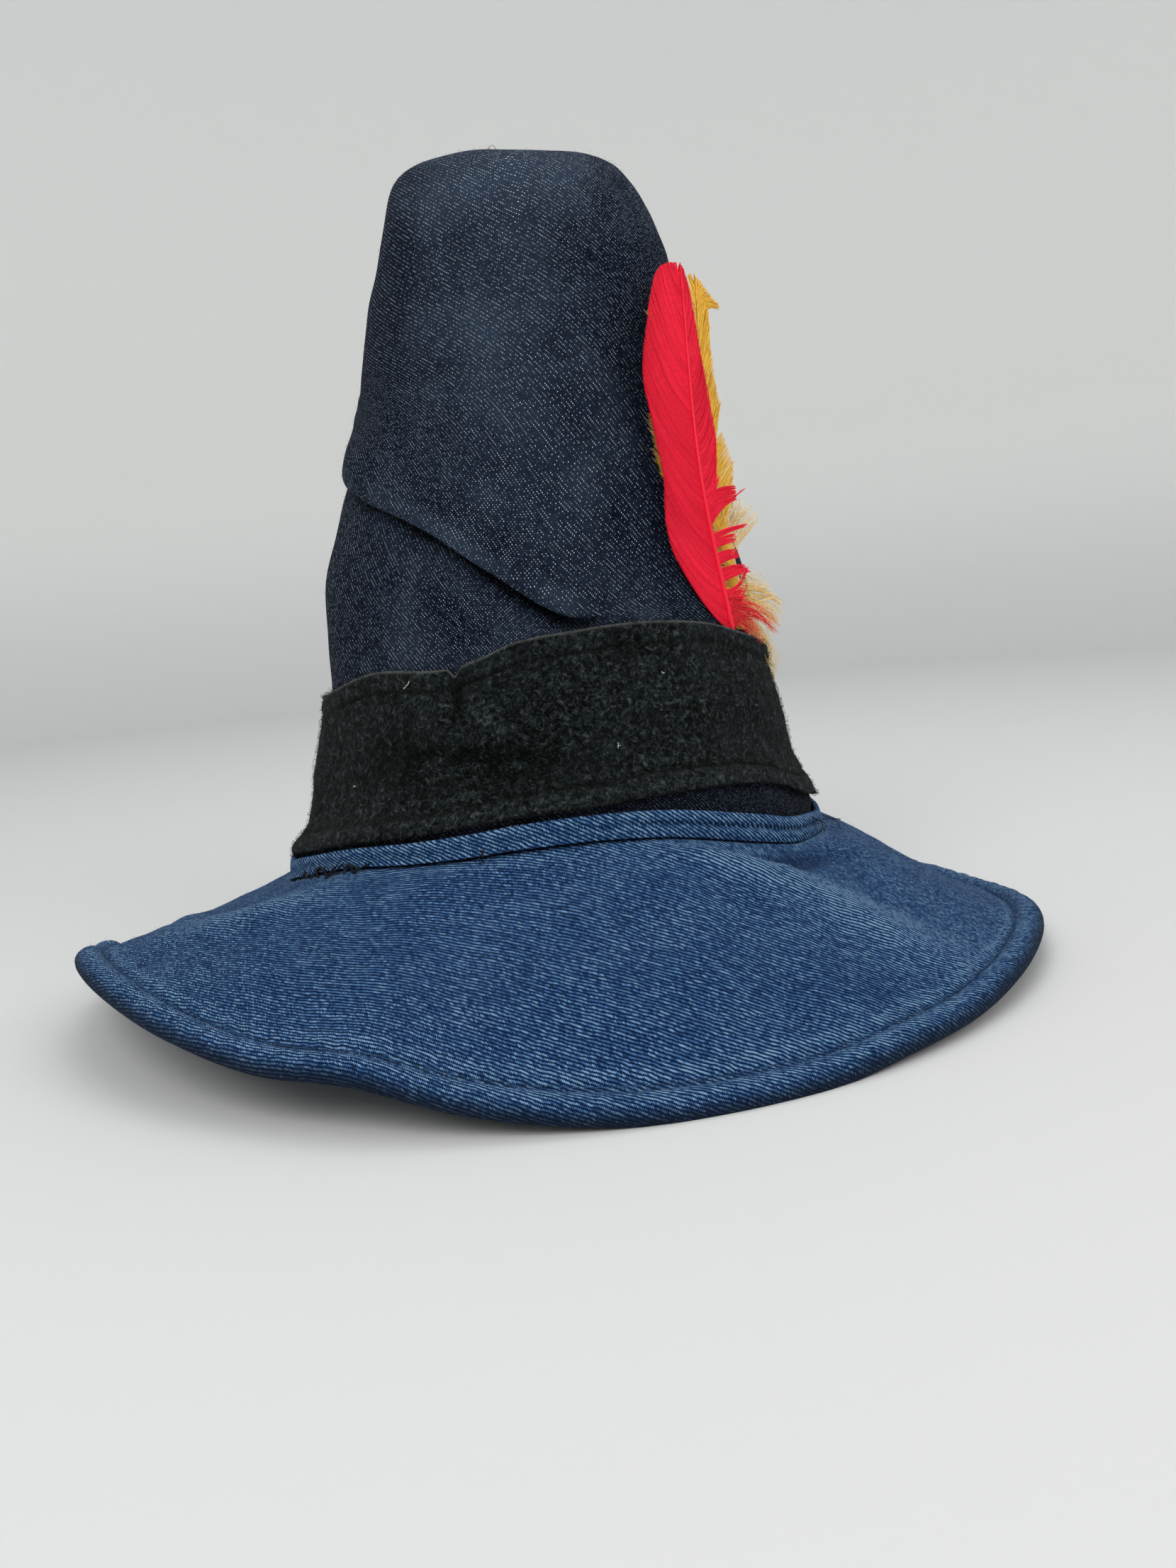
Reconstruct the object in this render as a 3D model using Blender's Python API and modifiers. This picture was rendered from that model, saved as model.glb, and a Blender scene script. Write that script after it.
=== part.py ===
"""A soft cloth wizard hat: crown with a folded-back peak, suede band, brim with a rolled hem, two feathers.

Metres, +Z up. The origin is on the surface that the hat rests on, under the middle of its bounding box.
The front faces -Y. Azimuth is measured in degrees from the front towards +X.
"""

import math
from collections import namedtuple

import bmesh
import bpy
from mathutils import Vector

# Driving dimensions
SEAM_HEIGHT = 0.0435      # mean height of the brim seam above the surface
SEAM_HALF_WIDTH = 0.1078  # outside of the collar at the seam, along X
SEAM_HALF_DEPTH = 0.0997  # outside of the collar at the seam, along Y
RIM_HALF_WIDTH = 0.1822   # middle of the rolled hem, along X
RIM_HALF_DEPTH = 0.1782   # middle of the rolled hem, along Y
HEM_HALF_WIDTH = 0.0050
HEM_HALF_THICKNESS = 0.0031
DENIM = 0.0018            # wall of crown, collar and brim
SUEDE = 0.0015
GAP = 0.0004              # clearance between neighbouring pieces
BAND_EASE = 0.0015        # how far the band stands off the crown
TUCK_ROOM = 0.0030        # how far the band stands off where the quills go behind it
TOP_SLANT = 0.075         # fall of the crown's top fold towards +X

# Mesh density
CROWN_SEGMENTS = 44
BAND_SEGMENTS = 44
BRIM_SEGMENTS = 70

# Crown sections, from the tucked lower edge up over the fold and down to the hanging tip.
# height and back place the section's middle over the seam, tilt turns its plane, left, right and depth
# are its half sizes, and square below 1 flattens its sides.
Section = namedtuple("Section", "height back tilt left right depth square")
CROWN_SECTIONS = (
    Section(0.0008, 0.0000, 0, 0.1046, 0.1046, 0.0966, 1.00),
    Section(0.0060, 0.0000, 0, 0.1038, 0.1040, 0.0964, 1.00),
    Section(0.0130, 0.0000, 0, 0.1022, 0.1038, 0.0955, 1.00),
    Section(0.0215, 0.0000, 0, 0.0952, 0.0998, 0.0925, 1.00),
    Section(0.0300, 0.0000, 0, 0.0932, 0.0954, 0.0900, 1.00),
    Section(0.0400, 0.0000, 0, 0.0914, 0.0928, 0.0884, 1.00),
    Section(0.0495, 0.0000, 0, 0.0890, 0.0908, 0.0870, 1.00),
    Section(0.0625, 0.0000, 0, 0.0854, 0.0882, 0.0852, 1.00),
    Section(0.0765, 0.0000, 0, 0.0826, 0.0858, 0.0832, 1.00),
    Section(0.0880, 0.0000, 0, 0.0822, 0.0850, 0.0812, 1.00),
    Section(0.0980, 0.0000, 0, 0.0826, 0.0838, 0.0791, 1.00),
    Section(0.1060, 0.0000, 0, 0.0824, 0.0825, 0.0770, 1.00),
    Section(0.1110, 0.0000, 0, 0.0814, 0.0816, 0.0757, 1.00),
    Section(0.1145, 0.0000, 0, 0.0806, 0.0809, 0.0747, 1.00),
    Section(0.1165, 0.0000, 0, 0.0800, 0.0805, 0.0741, 1.00),
    Section(0.1225, 0.0000, 0, 0.0782, 0.0793, 0.0725, 1.00),
    Section(0.1340, 0.0000, 0, 0.0748, 0.0768, 0.0693, 1.00),
    Section(0.1486, 0.0000, 0, 0.0706, 0.0738, 0.0650, 1.00),
    Section(0.1650, 0.0000, 0, 0.0650, 0.0714, 0.0596, 1.00),
    Section(0.1830, 0.0000, 0, 0.0610, 0.0688, 0.0540, 1.00),
    Section(0.2040, 0.0000, 0, 0.0557, 0.0658, 0.0465, 0.97),
    Section(0.2246, 0.0000, 0, 0.0502, 0.0627, 0.0385, 0.93),
    Section(0.2425, 0.0030, 7, 0.0460, 0.0575, 0.0300, 0.84),
    Section(0.2545, 0.0085, 22, 0.0436, 0.0524, 0.0214, 0.74),
    Section(0.2620, 0.0175, 50, 0.0375, 0.0470, 0.0140, 0.66),
    Section(0.2638, 0.0280, 88, 0.0330, 0.0430, 0.0100, 0.64),
    Section(0.2575, 0.0385, 125, 0.0335, 0.0425, 0.0085, 0.74),
    Section(0.2400, 0.0465, 155, 0.0330, 0.0410, 0.0080, 0.80),
    Section(0.2200, 0.0535, 165, 0.0270, 0.0350, 0.0076, 0.85),
    Section(0.2000, 0.0610, 166, 0.0200, 0.0280, 0.0070, 0.90),
    Section(0.1820, 0.0670, 166, 0.0115, 0.0195, 0.0062, 0.95),
    Section(0.1700, 0.0700, 166, 0.0050, 0.0125, 0.0046, 1.00),
)

CROWN_BODY = [section for section in CROWN_SECTIONS if section.tilt == 0]

# The crown's overhanging fold: its height over the seam and its strength, by azimuth
FoldPoint = namedtuple("FoldPoint", "azimuth height strength")
FOLD_LINE = (
    FoldPoint(-180, 0.1165, 0.0),
    FoldPoint(-130, 0.1350, 0.0),
    FoldPoint(-98, 0.1490, 0.1),
    FoldPoint(-82, 0.1490, 0.45),
    FoldPoint(-62, 0.1420, 0.9),
    FoldPoint(-50, 0.1370, 1.0),
    FoldPoint(-26, 0.1230, 1.0),
    FoldPoint(-9, 0.1085, 1.0),
    FoldPoint(1, 0.0990, 0.9),
    FoldPoint(7, 0.0945, 0.7),
    FoldPoint(14, 0.0930, 0.0),
    FoldPoint(32, 0.0930, 0.0),
    FoldPoint(70, 0.1020, 0.0),
    FoldPoint(120, 0.1165, 0.0),
)
FOLD_ROW = 0.1165         # the section height that is bent to follow the fold line
FOLD_REACH_UP = 0.085
FOLD_REACH_DOWN = 0.072
# The fold's shape across its line: how far out the cloth stands and how far it hangs
FoldShape = namedtuple("FoldShape", "above out rise")
FOLD_SHAPE = (
    FoldShape(-0.0400, 0.0000, 0.0000),
    FoldShape(-0.0150, -0.0022, 0.0000),
    FoldShape(-0.0055, -0.0036, 0.0000),
    FoldShape(-0.0020, -0.0026, 0.0022),
    FoldShape(0.0000, 0.0030, -0.0012),
    FoldShape(0.0060, 0.0044, 0.0000),
    FoldShape(0.0200, 0.0022, 0.0000),
    FoldShape(0.0450, 0.0000, 0.0000),
)

# Soft creases of the crown, as lines over azimuth and height, raised or sunk by their relief
Crease = namedtuple("Crease", "azimuth_a height_a azimuth_b height_b relief half_width")
CROWN_CREASES = (
    Crease(18, 0.170, -24, 0.118, -0.0022, 0.011),
    Crease(22, 0.182, -14, 0.134, 0.0016, 0.010),
    Crease(6, 0.113, 20, 0.098, -0.0016, 0.007),
    Crease(-50, 0.205, -20, 0.190, 0.0014, 0.016),
    Crease(150, 0.150, 200, 0.110, -0.0028, 0.014),
    Crease(120, 0.120, 165, 0.140, 0.0022, 0.012),
)

# Height of the brim seam and of the band's two edges over SEAM_HEIGHT, and the collar's width, by azimuth
Ring = namedtuple("Ring", "azimuth seam collar band_low band_high")
RINGS = (
    Ring(-120, 0.0020, 0.0072, 0.0120, 0.0730),
    Ring(-80, 0.0000, 0.0078, 0.0094, 0.0693),
    Ring(-60, 0.0065, 0.0070, 0.0152, 0.0740),
    Ring(-43, 0.0126, 0.0064, 0.0205, 0.0790),
    Ring(-24, 0.0155, 0.0070, 0.0248, 0.0785),
    Ring(-15, 0.0170, 0.0074, 0.0268, 0.0810),
    Ring(-6, 0.0187, 0.0078, 0.0288, 0.0857),
    Ring(8, 0.0193, 0.0082, 0.0302, 0.0879),
    Ring(22, 0.0170, 0.0088, 0.0312, 0.0889),
    Ring(40, 0.0098, 0.0096, 0.0297, 0.0868),
    Ring(54, 0.0045, 0.0092, 0.0255, 0.0815),
    Ring(66, 0.0030, 0.0082, 0.0185, 0.0775),
    Ring(82, 0.0010, 0.0078, 0.0150, 0.0745),
    Ring(120, 0.0060, 0.0076, 0.0180, 0.0730),
    Ring(180, 0.0100, 0.0076, 0.0200, 0.0740),
)

# How high the hem's underside is above the surface, by azimuth; ease bends the brim into an S
Rim = namedtuple("Rim", "azimuth lift ease")
RIM = (
    Rim(-180, 0.0000, 0.3),
    Rim(-150, 0.0000, 0.3),
    Rim(-128, 0.0000, 0.2),
    Rim(-106, 0.0045, 0.0),
    Rim(-90, 0.0115, 0.0),
    Rim(-78, 0.0210, 0.0),
    Rim(-67, 0.0280, 0.0),
    Rim(-54, 0.0280, 0.0),
    Rim(-40, 0.0220, 0.0),
    Rim(-29, 0.0166, 0.0),
    Rim(-19, 0.0152, 0.0),
    Rim(-10, 0.0080, 0.0),
    Rim(0, 0.0024, 0.0),
    Rim(9, 0.0000, 0.0),
    Rim(23, 0.0000, 0.1),
    Rim(32, 0.0024, 0.2),
    Rim(42, 0.0038, 0.4),
    Rim(52, 0.0066, 0.7),
    Rim(62, 0.0060, 1.0),
    Rim(74, 0.0000, 1.0),
    Rim(100, 0.0000, 0.8),
    Rim(140, 0.0000, 0.4),
)
HEM_PRESS = 0.0006        # how far the hem is pressed flat where it rests

# Folds of the brim, as lines over azimuth and the share of the way from seam to rim
BrimFold = namedtuple("BrimFold", "azimuth_a share_a azimuth_b share_b relief half_width")
BRIM_FOLDS = (
    BrimFold(-43, 0.18, -60, 0.66, 0.0032, 0.009),
    BrimFold(-64, 0.50, -74, 0.62, 0.0014, 0.008),
    BrimFold(20, 0.02, 38, 0.26, 0.0046, 0.008),
    BrimFold(38, 0.26, 49, 0.78, 0.0040, 0.012),
    BrimFold(30, 0.06, 58, 0.14, -0.0046, 0.008),
    BrimFold(118, 0.10, 128, 0.80, -0.0035, 0.014),
    BrimFold(-122, 0.10, -132, 0.85, -0.0035, 0.014),
    BrimFold(172, 0.15, 180, 0.85, 0.0030, 0.016),
)
BRIM_SHARES = (0.0, 0.07, 0.17, 0.30, 0.45, 0.61, 0.77, 0.90)
HEM_POINTS = 8

# Band: a shallow pucker that runs down from the join in its upper edge
BAND_PUCKER = Crease(-23, 0.079, -12, 0.048, -0.0020, 0.006)
BAND_ROWS = 5

# Feathers: where the quill goes behind the band, points of the shaft, the way the vane faces,
# how many locks it parts into, and how it curls back
Feather = namedtuple("Feather", "name colour azimuth middle tip facing locks curl vane")
ShaftRow = namedtuple("ShaftRow", "share x y z")
# Half widths of a vane on each side of its shaft, by share of the way from foot to tip
Vane = namedtuple("Vane", "share left right")
RED_VANE = (
    Vane(0.00, 0.0011, 0.0011),
    Vane(0.15, 0.0011, 0.0011),
    Vane(0.19, 0.0060, 0.0040),
    Vane(0.25, 0.0125, 0.0070),
    Vane(0.33, 0.0212, 0.0095),
    Vane(0.41, 0.0226, 0.0100),
    Vane(0.50, 0.0200, 0.0080),
    Vane(0.61, 0.0208, 0.0104),
    Vane(0.73, 0.0202, 0.0104),
    Vane(0.83, 0.0168, 0.0104),
    Vane(0.90, 0.0138, 0.0082),
    Vane(0.96, 0.0088, 0.0042),
    Vane(1.00, 0.0016, 0.0012),
)
YELLOW_VANE = (
    Vane(0.00, 0.0011, 0.0011),
    Vane(0.15, 0.0011, 0.0011),
    Vane(0.19, 0.0030, 0.0085),
    Vane(0.28, 0.0045, 0.0100),
    Vane(0.40, 0.0055, 0.0078),
    Vane(0.50, 0.0062, 0.0080),
    Vane(0.56, 0.0064, 0.0050),
    Vane(0.66, 0.0066, 0.0056),
    Vane(0.80, 0.0056, 0.0034),
    Vane(0.92, 0.0040, 0.0030),
    Vane(1.00, 0.0010, 0.0020),
)
FEATHERS = (
    Feather(
        "red_feather", (0.560, 0.035, 0.025), 53, (0.0628, -0.0485, 0.1845),
        (0.0628, -0.0350, 0.2580), (0.62, -0.78, 0.08), 11, -4.0, RED_VANE,
    ),
    Feather(
        "yellow_feather", (0.640, 0.330, 0.035), 63, (0.0724, -0.0328, 0.1900),
        (0.0748, -0.0180, 0.2560), (0.70, -0.71, 0.05), 9, 3.0, YELLOW_VANE,
    ),
)
QUILL_DEPTH = 0.024       # how far a quill goes down behind the band
QUILL_STAND = 0.0023      # from the crown to the middle of a quill
THROAT_SHARE = 0.155      # share of a feather's length that is behind the band
MIDDLE_SHARE = 0.53
QUILL_AZIMUTH = 58        # where the band stands off to let both quills in
QUILL_SPREAD = 17
FEATHER_THICKNESS = 0.0011
FEATHER_ROWS = 30
SHAFT_RISE = 0.0004
VANE_STRIPS = (-1.0, -0.5, -0.07, 0.07, 0.5, 1.0)


def smooth(rows, column, key, period=None):
    """A column of a table at a key between its rows, along a smooth curve through them."""
    keys = [row[0] for row in rows]
    values = [getattr(row, column) for row in rows]
    if period:
        key = (key - keys[0]) % period + keys[0]
        keys = [keys[-1] - period] + keys + [keys[0] + period, keys[1] + period]
        values = [values[-1]] + values + [values[0], values[1]]
    else:
        key = min(max(key, keys[0]), keys[-1])
    index = max(i for i in range(len(keys) - 1) if keys[i] <= key or i == 0)
    span = keys[index + 1] - keys[index]
    share = (key - keys[index]) / span

    def slope(i):
        low, high = max(i - 1, 0), min(i + 1, len(keys) - 1)
        return (values[high] - values[low]) / (keys[high] - keys[low]) * span

    square, cube = share * share, share ** 3
    return (
        values[index] * (2 * cube - 3 * square + 1)
        + slope(index) * (cube - 2 * square + share)
        + values[index + 1] * (3 * square - 2 * cube)
        + slope(index + 1) * (cube - square)
    )


def around(rows, column, azimuth):
    return smooth(rows, column, azimuth, 360)


def step(low, high, value):
    """0 below low, 1 above high, and a smooth rise between."""
    share = min(max((value - low) / (high - low), 0), 1)
    return share * share * (3 - 2 * share)


def line_relief(line, across, along, degree_size, along_size):
    """How far a crease raises the point at this azimuth and height or share."""
    start = Vector((line[0] * degree_size, line[1] * along_size))
    end = Vector((line[2] * degree_size, line[3] * along_size))
    turn = (across - (line[0] + line[2]) / 2 + 180) % 360 - 180
    point = Vector(((turn + (line[0] + line[2]) / 2) * degree_size, along * along_size))
    run = end - start
    share = min(max((point - start).dot(run) / run.length_squared, 0), 1)
    away = (point - start - run * share).length / line.half_width
    ends = 0.35 + 0.65 * math.sin(math.pi * min(max(share, 0.08), 0.92))
    return line.relief * math.exp(-away * away) * ends


def fold_at(azimuth, height):
    """How far the crown's overhang moves the cloth out and up at this section."""
    strength = around(FOLD_LINE, "strength", azimuth)
    strength = min(max(strength, 0), 1)
    above = height - FOLD_ROW
    reach = FOLD_REACH_UP if above > 0 else FOLD_REACH_DOWN
    follow = 1 - step(0, reach, abs(above))
    shift = (around(FOLD_LINE, "height", azimuth) - FOLD_ROW) * follow
    out = smooth(FOLD_SHAPE, "out", above) * strength
    rise = smooth(FOLD_SHAPE, "rise", above) * strength
    return out, rise + shift


def bent_section(section, azimuth):
    """The section's row moved up or down so that it follows the fold, with the size it has there."""
    above = section.height - FOLD_ROW
    reach = FOLD_REACH_UP if above > 0 else FOLD_REACH_DOWN
    follow = 1 - step(0, reach, abs(above))
    height = section.height + (around(FOLD_LINE, "height", azimuth) - FOLD_ROW) * follow
    sizes = [smooth(CROWN_BODY, column, height) for column in ("left", "right", "depth", "square")]
    return Section(section.height, section.back, 0, *sizes)


def crown_point(section, azimuth):
    """A point of the crown's outer face."""
    turn = math.radians(azimuth)
    if section.tilt == 0:
        section = bent_section(section, azimuth)
    half = (section.left + section.right) / 2
    middle = (section.right - section.left) / 2
    across = math.copysign(abs(math.sin(turn)) ** section.square, math.sin(turn))
    front = math.copysign(abs(math.cos(turn)) ** section.square, math.cos(turn))
    out, rise = 0, 0
    if section.tilt == 0:
        out, rise = fold_at(azimuth, section.height)
        rise += around(RINGS, "seam", azimuth) * (1 - step(0.001, 0.060, section.height))
        out += sum(
            line_relief(crease, azimuth, section.height, math.radians(half), 1)
            for crease in CROWN_CREASES
        )
    x = middle + across * (half + out)
    reach = front * (section.depth + out)
    tilt = math.radians(section.tilt)
    slant = TOP_SLANT * step(0.215, 0.262, section.height + 0.02 * step(0, 60, section.tilt))
    return Vector((
        x,
        section.back - reach * math.cos(tilt),
        SEAM_HEIGHT + section.height + rise + reach * math.sin(tilt) - slant * (x - middle),
    ))


def crown_at(azimuth, height):
    """The crown's outer face at a height over the seam, below the fold."""
    low = max(i for i in range(20) if CROWN_SECTIONS[i].height <= max(height, CROWN_SECTIONS[0].height))
    below, over = CROWN_SECTIONS[low], CROWN_SECTIONS[low + 1]
    share = (height - below.height) / (over.height - below.height)
    mixed = Section(*(a + (b - a) * share for a, b in zip(below, over)))
    return crown_point(mixed, azimuth)


def crown_face_at(azimuth, height):
    """The crown's outer face at a true height over the seam, found by stepping through its sections."""
    guess = height
    for _ in range(6):
        guess += height + SEAM_HEIGHT - crown_at(azimuth, guess).z
        guess = min(max(guess, CROWN_SECTIONS[0].height), 0.16)
    return crown_at(azimuth, guess)


def ring_point(half_width, half_depth, azimuth, height):
    turn = math.radians(azimuth)
    return Vector((half_width * math.sin(turn), -half_depth * math.cos(turn), height))


def azimuths(count):
    return [360 * i / count - 180 for i in range(count)]


def tube_mesh(name, rings, closed_section=False, cap_end=False):
    """A mesh of quads between rings of points. With closed_section the rings close into a solid ring."""
    mesh = bpy.data.meshes.new(name)
    shape = bmesh.new()
    rows = [[shape.verts.new(point) for point in ring] for ring in rings]
    pairs = list(zip(rows, rows[1:]))
    if closed_section:
        pairs.append((rows[-1], rows[0]))
    for low, high in pairs:
        count = len(low)
        for i in range(count):
            shape.faces.new((low[i], low[(i + 1) % count], high[(i + 1) % count], high[i]))
    if cap_end:
        shape.faces.new(rows[-1])
    bmesh.ops.recalc_face_normals(shape, faces=shape.faces)
    shape.to_mesh(mesh)
    shape.free()
    mesh.shade_smooth()
    return mesh


def sheet_mesh(name, rows):
    """An open mesh of quads between rows of points."""
    mesh = bpy.data.meshes.new(name)
    shape = bmesh.new()
    made = [[shape.verts.new(point) for point in row] for row in rows]
    for low, high in zip(made, made[1:]):
        for i in range(len(low) - 1):
            shape.faces.new((low[i], low[i + 1], high[i + 1], high[i]))
    shape.to_mesh(mesh)
    shape.free()
    mesh.shade_smooth()
    return mesh


def cloth_material(name, colour, roughness):
    material = bpy.data.materials.new(name)
    material.use_nodes = True
    shader = material.node_tree.nodes["Principled BSDF"]
    shader.inputs["Base Color"].default_value = (*colour, 1)
    shader.inputs["Roughness"].default_value = roughness
    shader.inputs["Metallic"].default_value = 0
    return material


def add_piece(collection, name, mesh, material):
    piece = bpy.data.objects.new(name, mesh)
    piece.data.materials.append(material)
    collection.objects.link(piece)
    return piece


def add_wall(piece, thickness, offset):
    wall = piece.modifiers.new("Wall", "SOLIDIFY")
    wall.thickness = thickness
    wall.offset = offset
    wall.use_even_offset = True
    return wall


def build_crown(collection):
    rings = [
        [crown_point(section, azimuth) for azimuth in azimuths(CROWN_SEGMENTS)]
        for section in CROWN_SECTIONS
    ]
    mesh = tube_mesh("crown", rings, cap_end=True)
    crown = add_piece(collection, "crown", mesh, cloth_material("dark_denim", (0.012, 0.014, 0.030), 0.95))
    add_wall(crown, DENIM, -1)


def collar_rings():
    """The collar's four edges: outer and inner, at the seam and at its top."""
    edges = []
    for inset, upper in ((0, 0), (0, 1), (DENIM, 1), (DENIM, 0)):
        ring = []
        for azimuth in azimuths(BRIM_SEGMENTS):
            seam = around(RINGS, "seam", azimuth)
            height = seam + around(RINGS, "collar", azimuth) * upper
            lean = 0.0006 * upper
            ring.append(ring_point(
                SEAM_HALF_WIDTH - inset - lean,
                SEAM_HALF_DEPTH - inset - lean,
                azimuth,
                SEAM_HEIGHT + height,
            ))
        edges.append(ring)
    return edges


def build_collar(collection):
    mesh = tube_mesh("brim_collar", collar_rings(), closed_section=True)
    add_piece(collection, "brim_collar", mesh, cloth_material("blue_denim", (0.045, 0.115, 0.260), 0.9))


def band_point(azimuth, share, layer):
    """A point of the band: share runs from its lower to its upper edge, layer 0 is inside and 1 outside."""
    low = around(RINGS, "band_low", azimuth)
    high = around(RINGS, "band_high", azimuth)
    height = low + (high - low) * share
    face = crown_face_at(azimuth, height)
    room = TUCK_ROOM * math.exp(-(((azimuth - QUILL_AZIMUTH) / QUILL_SPREAD) ** 2)) * step(0.25, 0.60, share)
    pucker = line_relief(BAND_PUCKER, azimuth, height, math.radians(0.085), 1)
    spread = BAND_EASE + room + SUEDE * layer + pucker * 0.4
    outward = Vector((face.x, face.y, 0)).normalized()
    return Vector((face.x, face.y, SEAM_HEIGHT + height)) + outward * spread


def build_band(collection):
    shares = [i / (BAND_ROWS - 1) for i in range(BAND_ROWS)]
    outer = [[band_point(a, share, 1) for a in azimuths(BAND_SEGMENTS)] for share in shares]
    inner = [[band_point(a, share, 0) for a in azimuths(BAND_SEGMENTS)] for share in reversed(shares)]
    mesh = tube_mesh("band", outer + inner, closed_section=True)
    add_piece(collection, "band", mesh, cloth_material("black_suede", (0.012, 0.014, 0.014), 0.98))


def brim_middle(azimuth, share):
    """The middle of the brim's cloth, at a share of the way from seam to hem."""
    seam = SEAM_HEIGHT + around(RINGS, "seam", azimuth) - GAP - DENIM / 2
    hem = around(RIM, "lift", azimuth) + HEM_HALF_THICKNESS - HEM_PRESS + 0.0004
    inner = (SEAM_HALF_WIDTH - DENIM, SEAM_HALF_DEPTH - DENIM)
    outer = (RIM_HALF_WIDTH, RIM_HALF_DEPTH)
    ease = around(RIM, "ease", azimuth)
    fall = share + ease * 0.75 * (step(0, 1, share) - share)
    half_width = inner[0] + (outer[0] - inner[0]) * share
    half_depth = inner[1] + (outer[1] - inner[1]) * share
    relief = sum(
        line_relief(fold, azimuth, share, math.radians(0.145), 0.085) for fold in BRIM_FOLDS
    )
    near_seam = step(0, 0.12, share)
    near_hem = 1 - step(0.85, 1.0, share)
    height = seam + (hem - seam) * fall + relief * near_seam * near_hem
    return ring_point(half_width, half_depth, azimuth, height)


def brim_section(azimuth):
    """The brim's closed outline at one azimuth: upper face, round the hem, lower face back to the seam."""
    upper, lower = [], []
    for share in BRIM_SHARES:
        middle = brim_middle(azimuth, share)
        run = brim_middle(azimuth, min(share + 0.01, 1)) - brim_middle(azimuth, max(share - 0.01, 0))
        side = Vector((-run.y, run.x, 0)).normalized()
        normal = side.cross(run).normalized()
        normal = normal if normal.z > 0 else -normal
        upper.append(middle + normal * (DENIM / 2))
        lower.append(middle - normal * (DENIM / 2))
    hem = brim_middle(azimuth, 1)
    along = (hem - brim_middle(azimuth, 0.9)).normalized()
    side = Vector((-along.y, along.x, 0)).normalized()
    normal = side.cross(along).normalized()
    normal = normal if normal.z > 0 else -normal
    roll = []
    for i in range(HEM_POINTS):
        turn = math.radians(150 - 300 * i / (HEM_POINTS - 1))
        roll.append(
            hem + along * (HEM_HALF_WIDTH * math.cos(turn)) + normal * (HEM_HALF_THICKNESS * math.sin(turn))
        )
    outline = upper + roll + lower[::-1]
    return [Vector((point.x, point.y, max(point.z, 0))) for point in outline]


def build_brim(collection):
    sections = [brim_section(azimuth) for azimuth in azimuths(BRIM_SEGMENTS)]
    mesh = tube_mesh("brim", sections, closed_section=True)
    add_piece(collection, "brim", mesh, cloth_material("blue_denim_brim", (0.045, 0.115, 0.260), 0.9))


def shaft_rows(feather):
    """The shaft as a table: its foot and throat lie between crown and band."""
    throat_height = around(RINGS, "band_high", feather.azimuth)
    rows = []
    for share, height in ((0, throat_height - QUILL_DEPTH), (THROAT_SHARE, throat_height)):
        face = crown_face_at(feather.azimuth, height)
        outward = Vector((face.x, face.y, 0)).normalized()
        rows.append(ShaftRow(share, *(face + outward * QUILL_STAND)))
    rows.append(ShaftRow(MIDDLE_SHARE, *feather.middle))
    rows.append(ShaftRow(1, *feather.tip))
    return rows


def shaft_point(rows, share):
    return Vector([smooth(rows, axis, share) for axis in ("x", "y", "z")])


def feather_row(feather, shaft, share):
    """Points across the feather, with locks cut into both edges of its vane."""
    point = shaft_point(shaft, share)
    along = shaft_point(shaft, min(share + 0.01, 1)) - shaft_point(shaft, max(share - 0.01, 0))
    along.normalize()
    across = along.cross(Vector(feather.facing)).normalized()
    front = across.cross(along).normalized()
    front = front if front.y < 0 else -front
    lock = (share * feather.locks) % 1
    vane_only = step(0.20, 0.30, share) * (1 - step(0.90, 1, share))
    cut = 1 - 0.26 * step(0.50, 0.95, lock) * vane_only
    row = []
    for strip in VANE_STRIPS:
        width = smooth(feather.vane, "left" if strip < 0 else "right", share)
        width = max(width * cut, 0.0009)
        back = feather.curl * (strip * width) ** 2
        rise = SHAFT_RISE if abs(strip) < 0.1 else 0
        row.append(point + across * (strip * width) + front * (rise - back))
    return row


def build_feather(collection, feather):
    shaft = shaft_rows(feather)
    rows = [feather_row(feather, shaft, i / FEATHER_ROWS) for i in range(FEATHER_ROWS + 1)]
    mesh = sheet_mesh(feather.name, rows)
    piece = add_piece(collection, feather.name, mesh, cloth_material(feather.name, feather.colour, 0.7))
    add_wall(piece, FEATHER_THICKNESS, 0)


def clear_scene():
    for item in list(bpy.data.objects):
        bpy.data.objects.remove(item, do_unlink=True)


def main():
    clear_scene()
    collection = bpy.data.collections.new("wizard_hat")
    bpy.context.scene.collection.children.link(collection)
    build_crown(collection)
    build_collar(collection)
    build_band(collection)
    build_brim(collection)
    for feather in FEATHERS:
        build_feather(collection, feather)


main()
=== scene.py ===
"""The looks of a soft cloth wizard hat: denim crown, suede band, blue denim brim and two dyed feathers.

Metres, +Z up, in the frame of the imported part. The front faces -Y. Azimuth is measured in degrees from the
front towards +X. Every piece is built on the same sections as the part, with finer steps and finer relief.
"""

import math
from collections import namedtuple

import bpy
import numpy as np
from mathutils import Matrix, Vector


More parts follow.
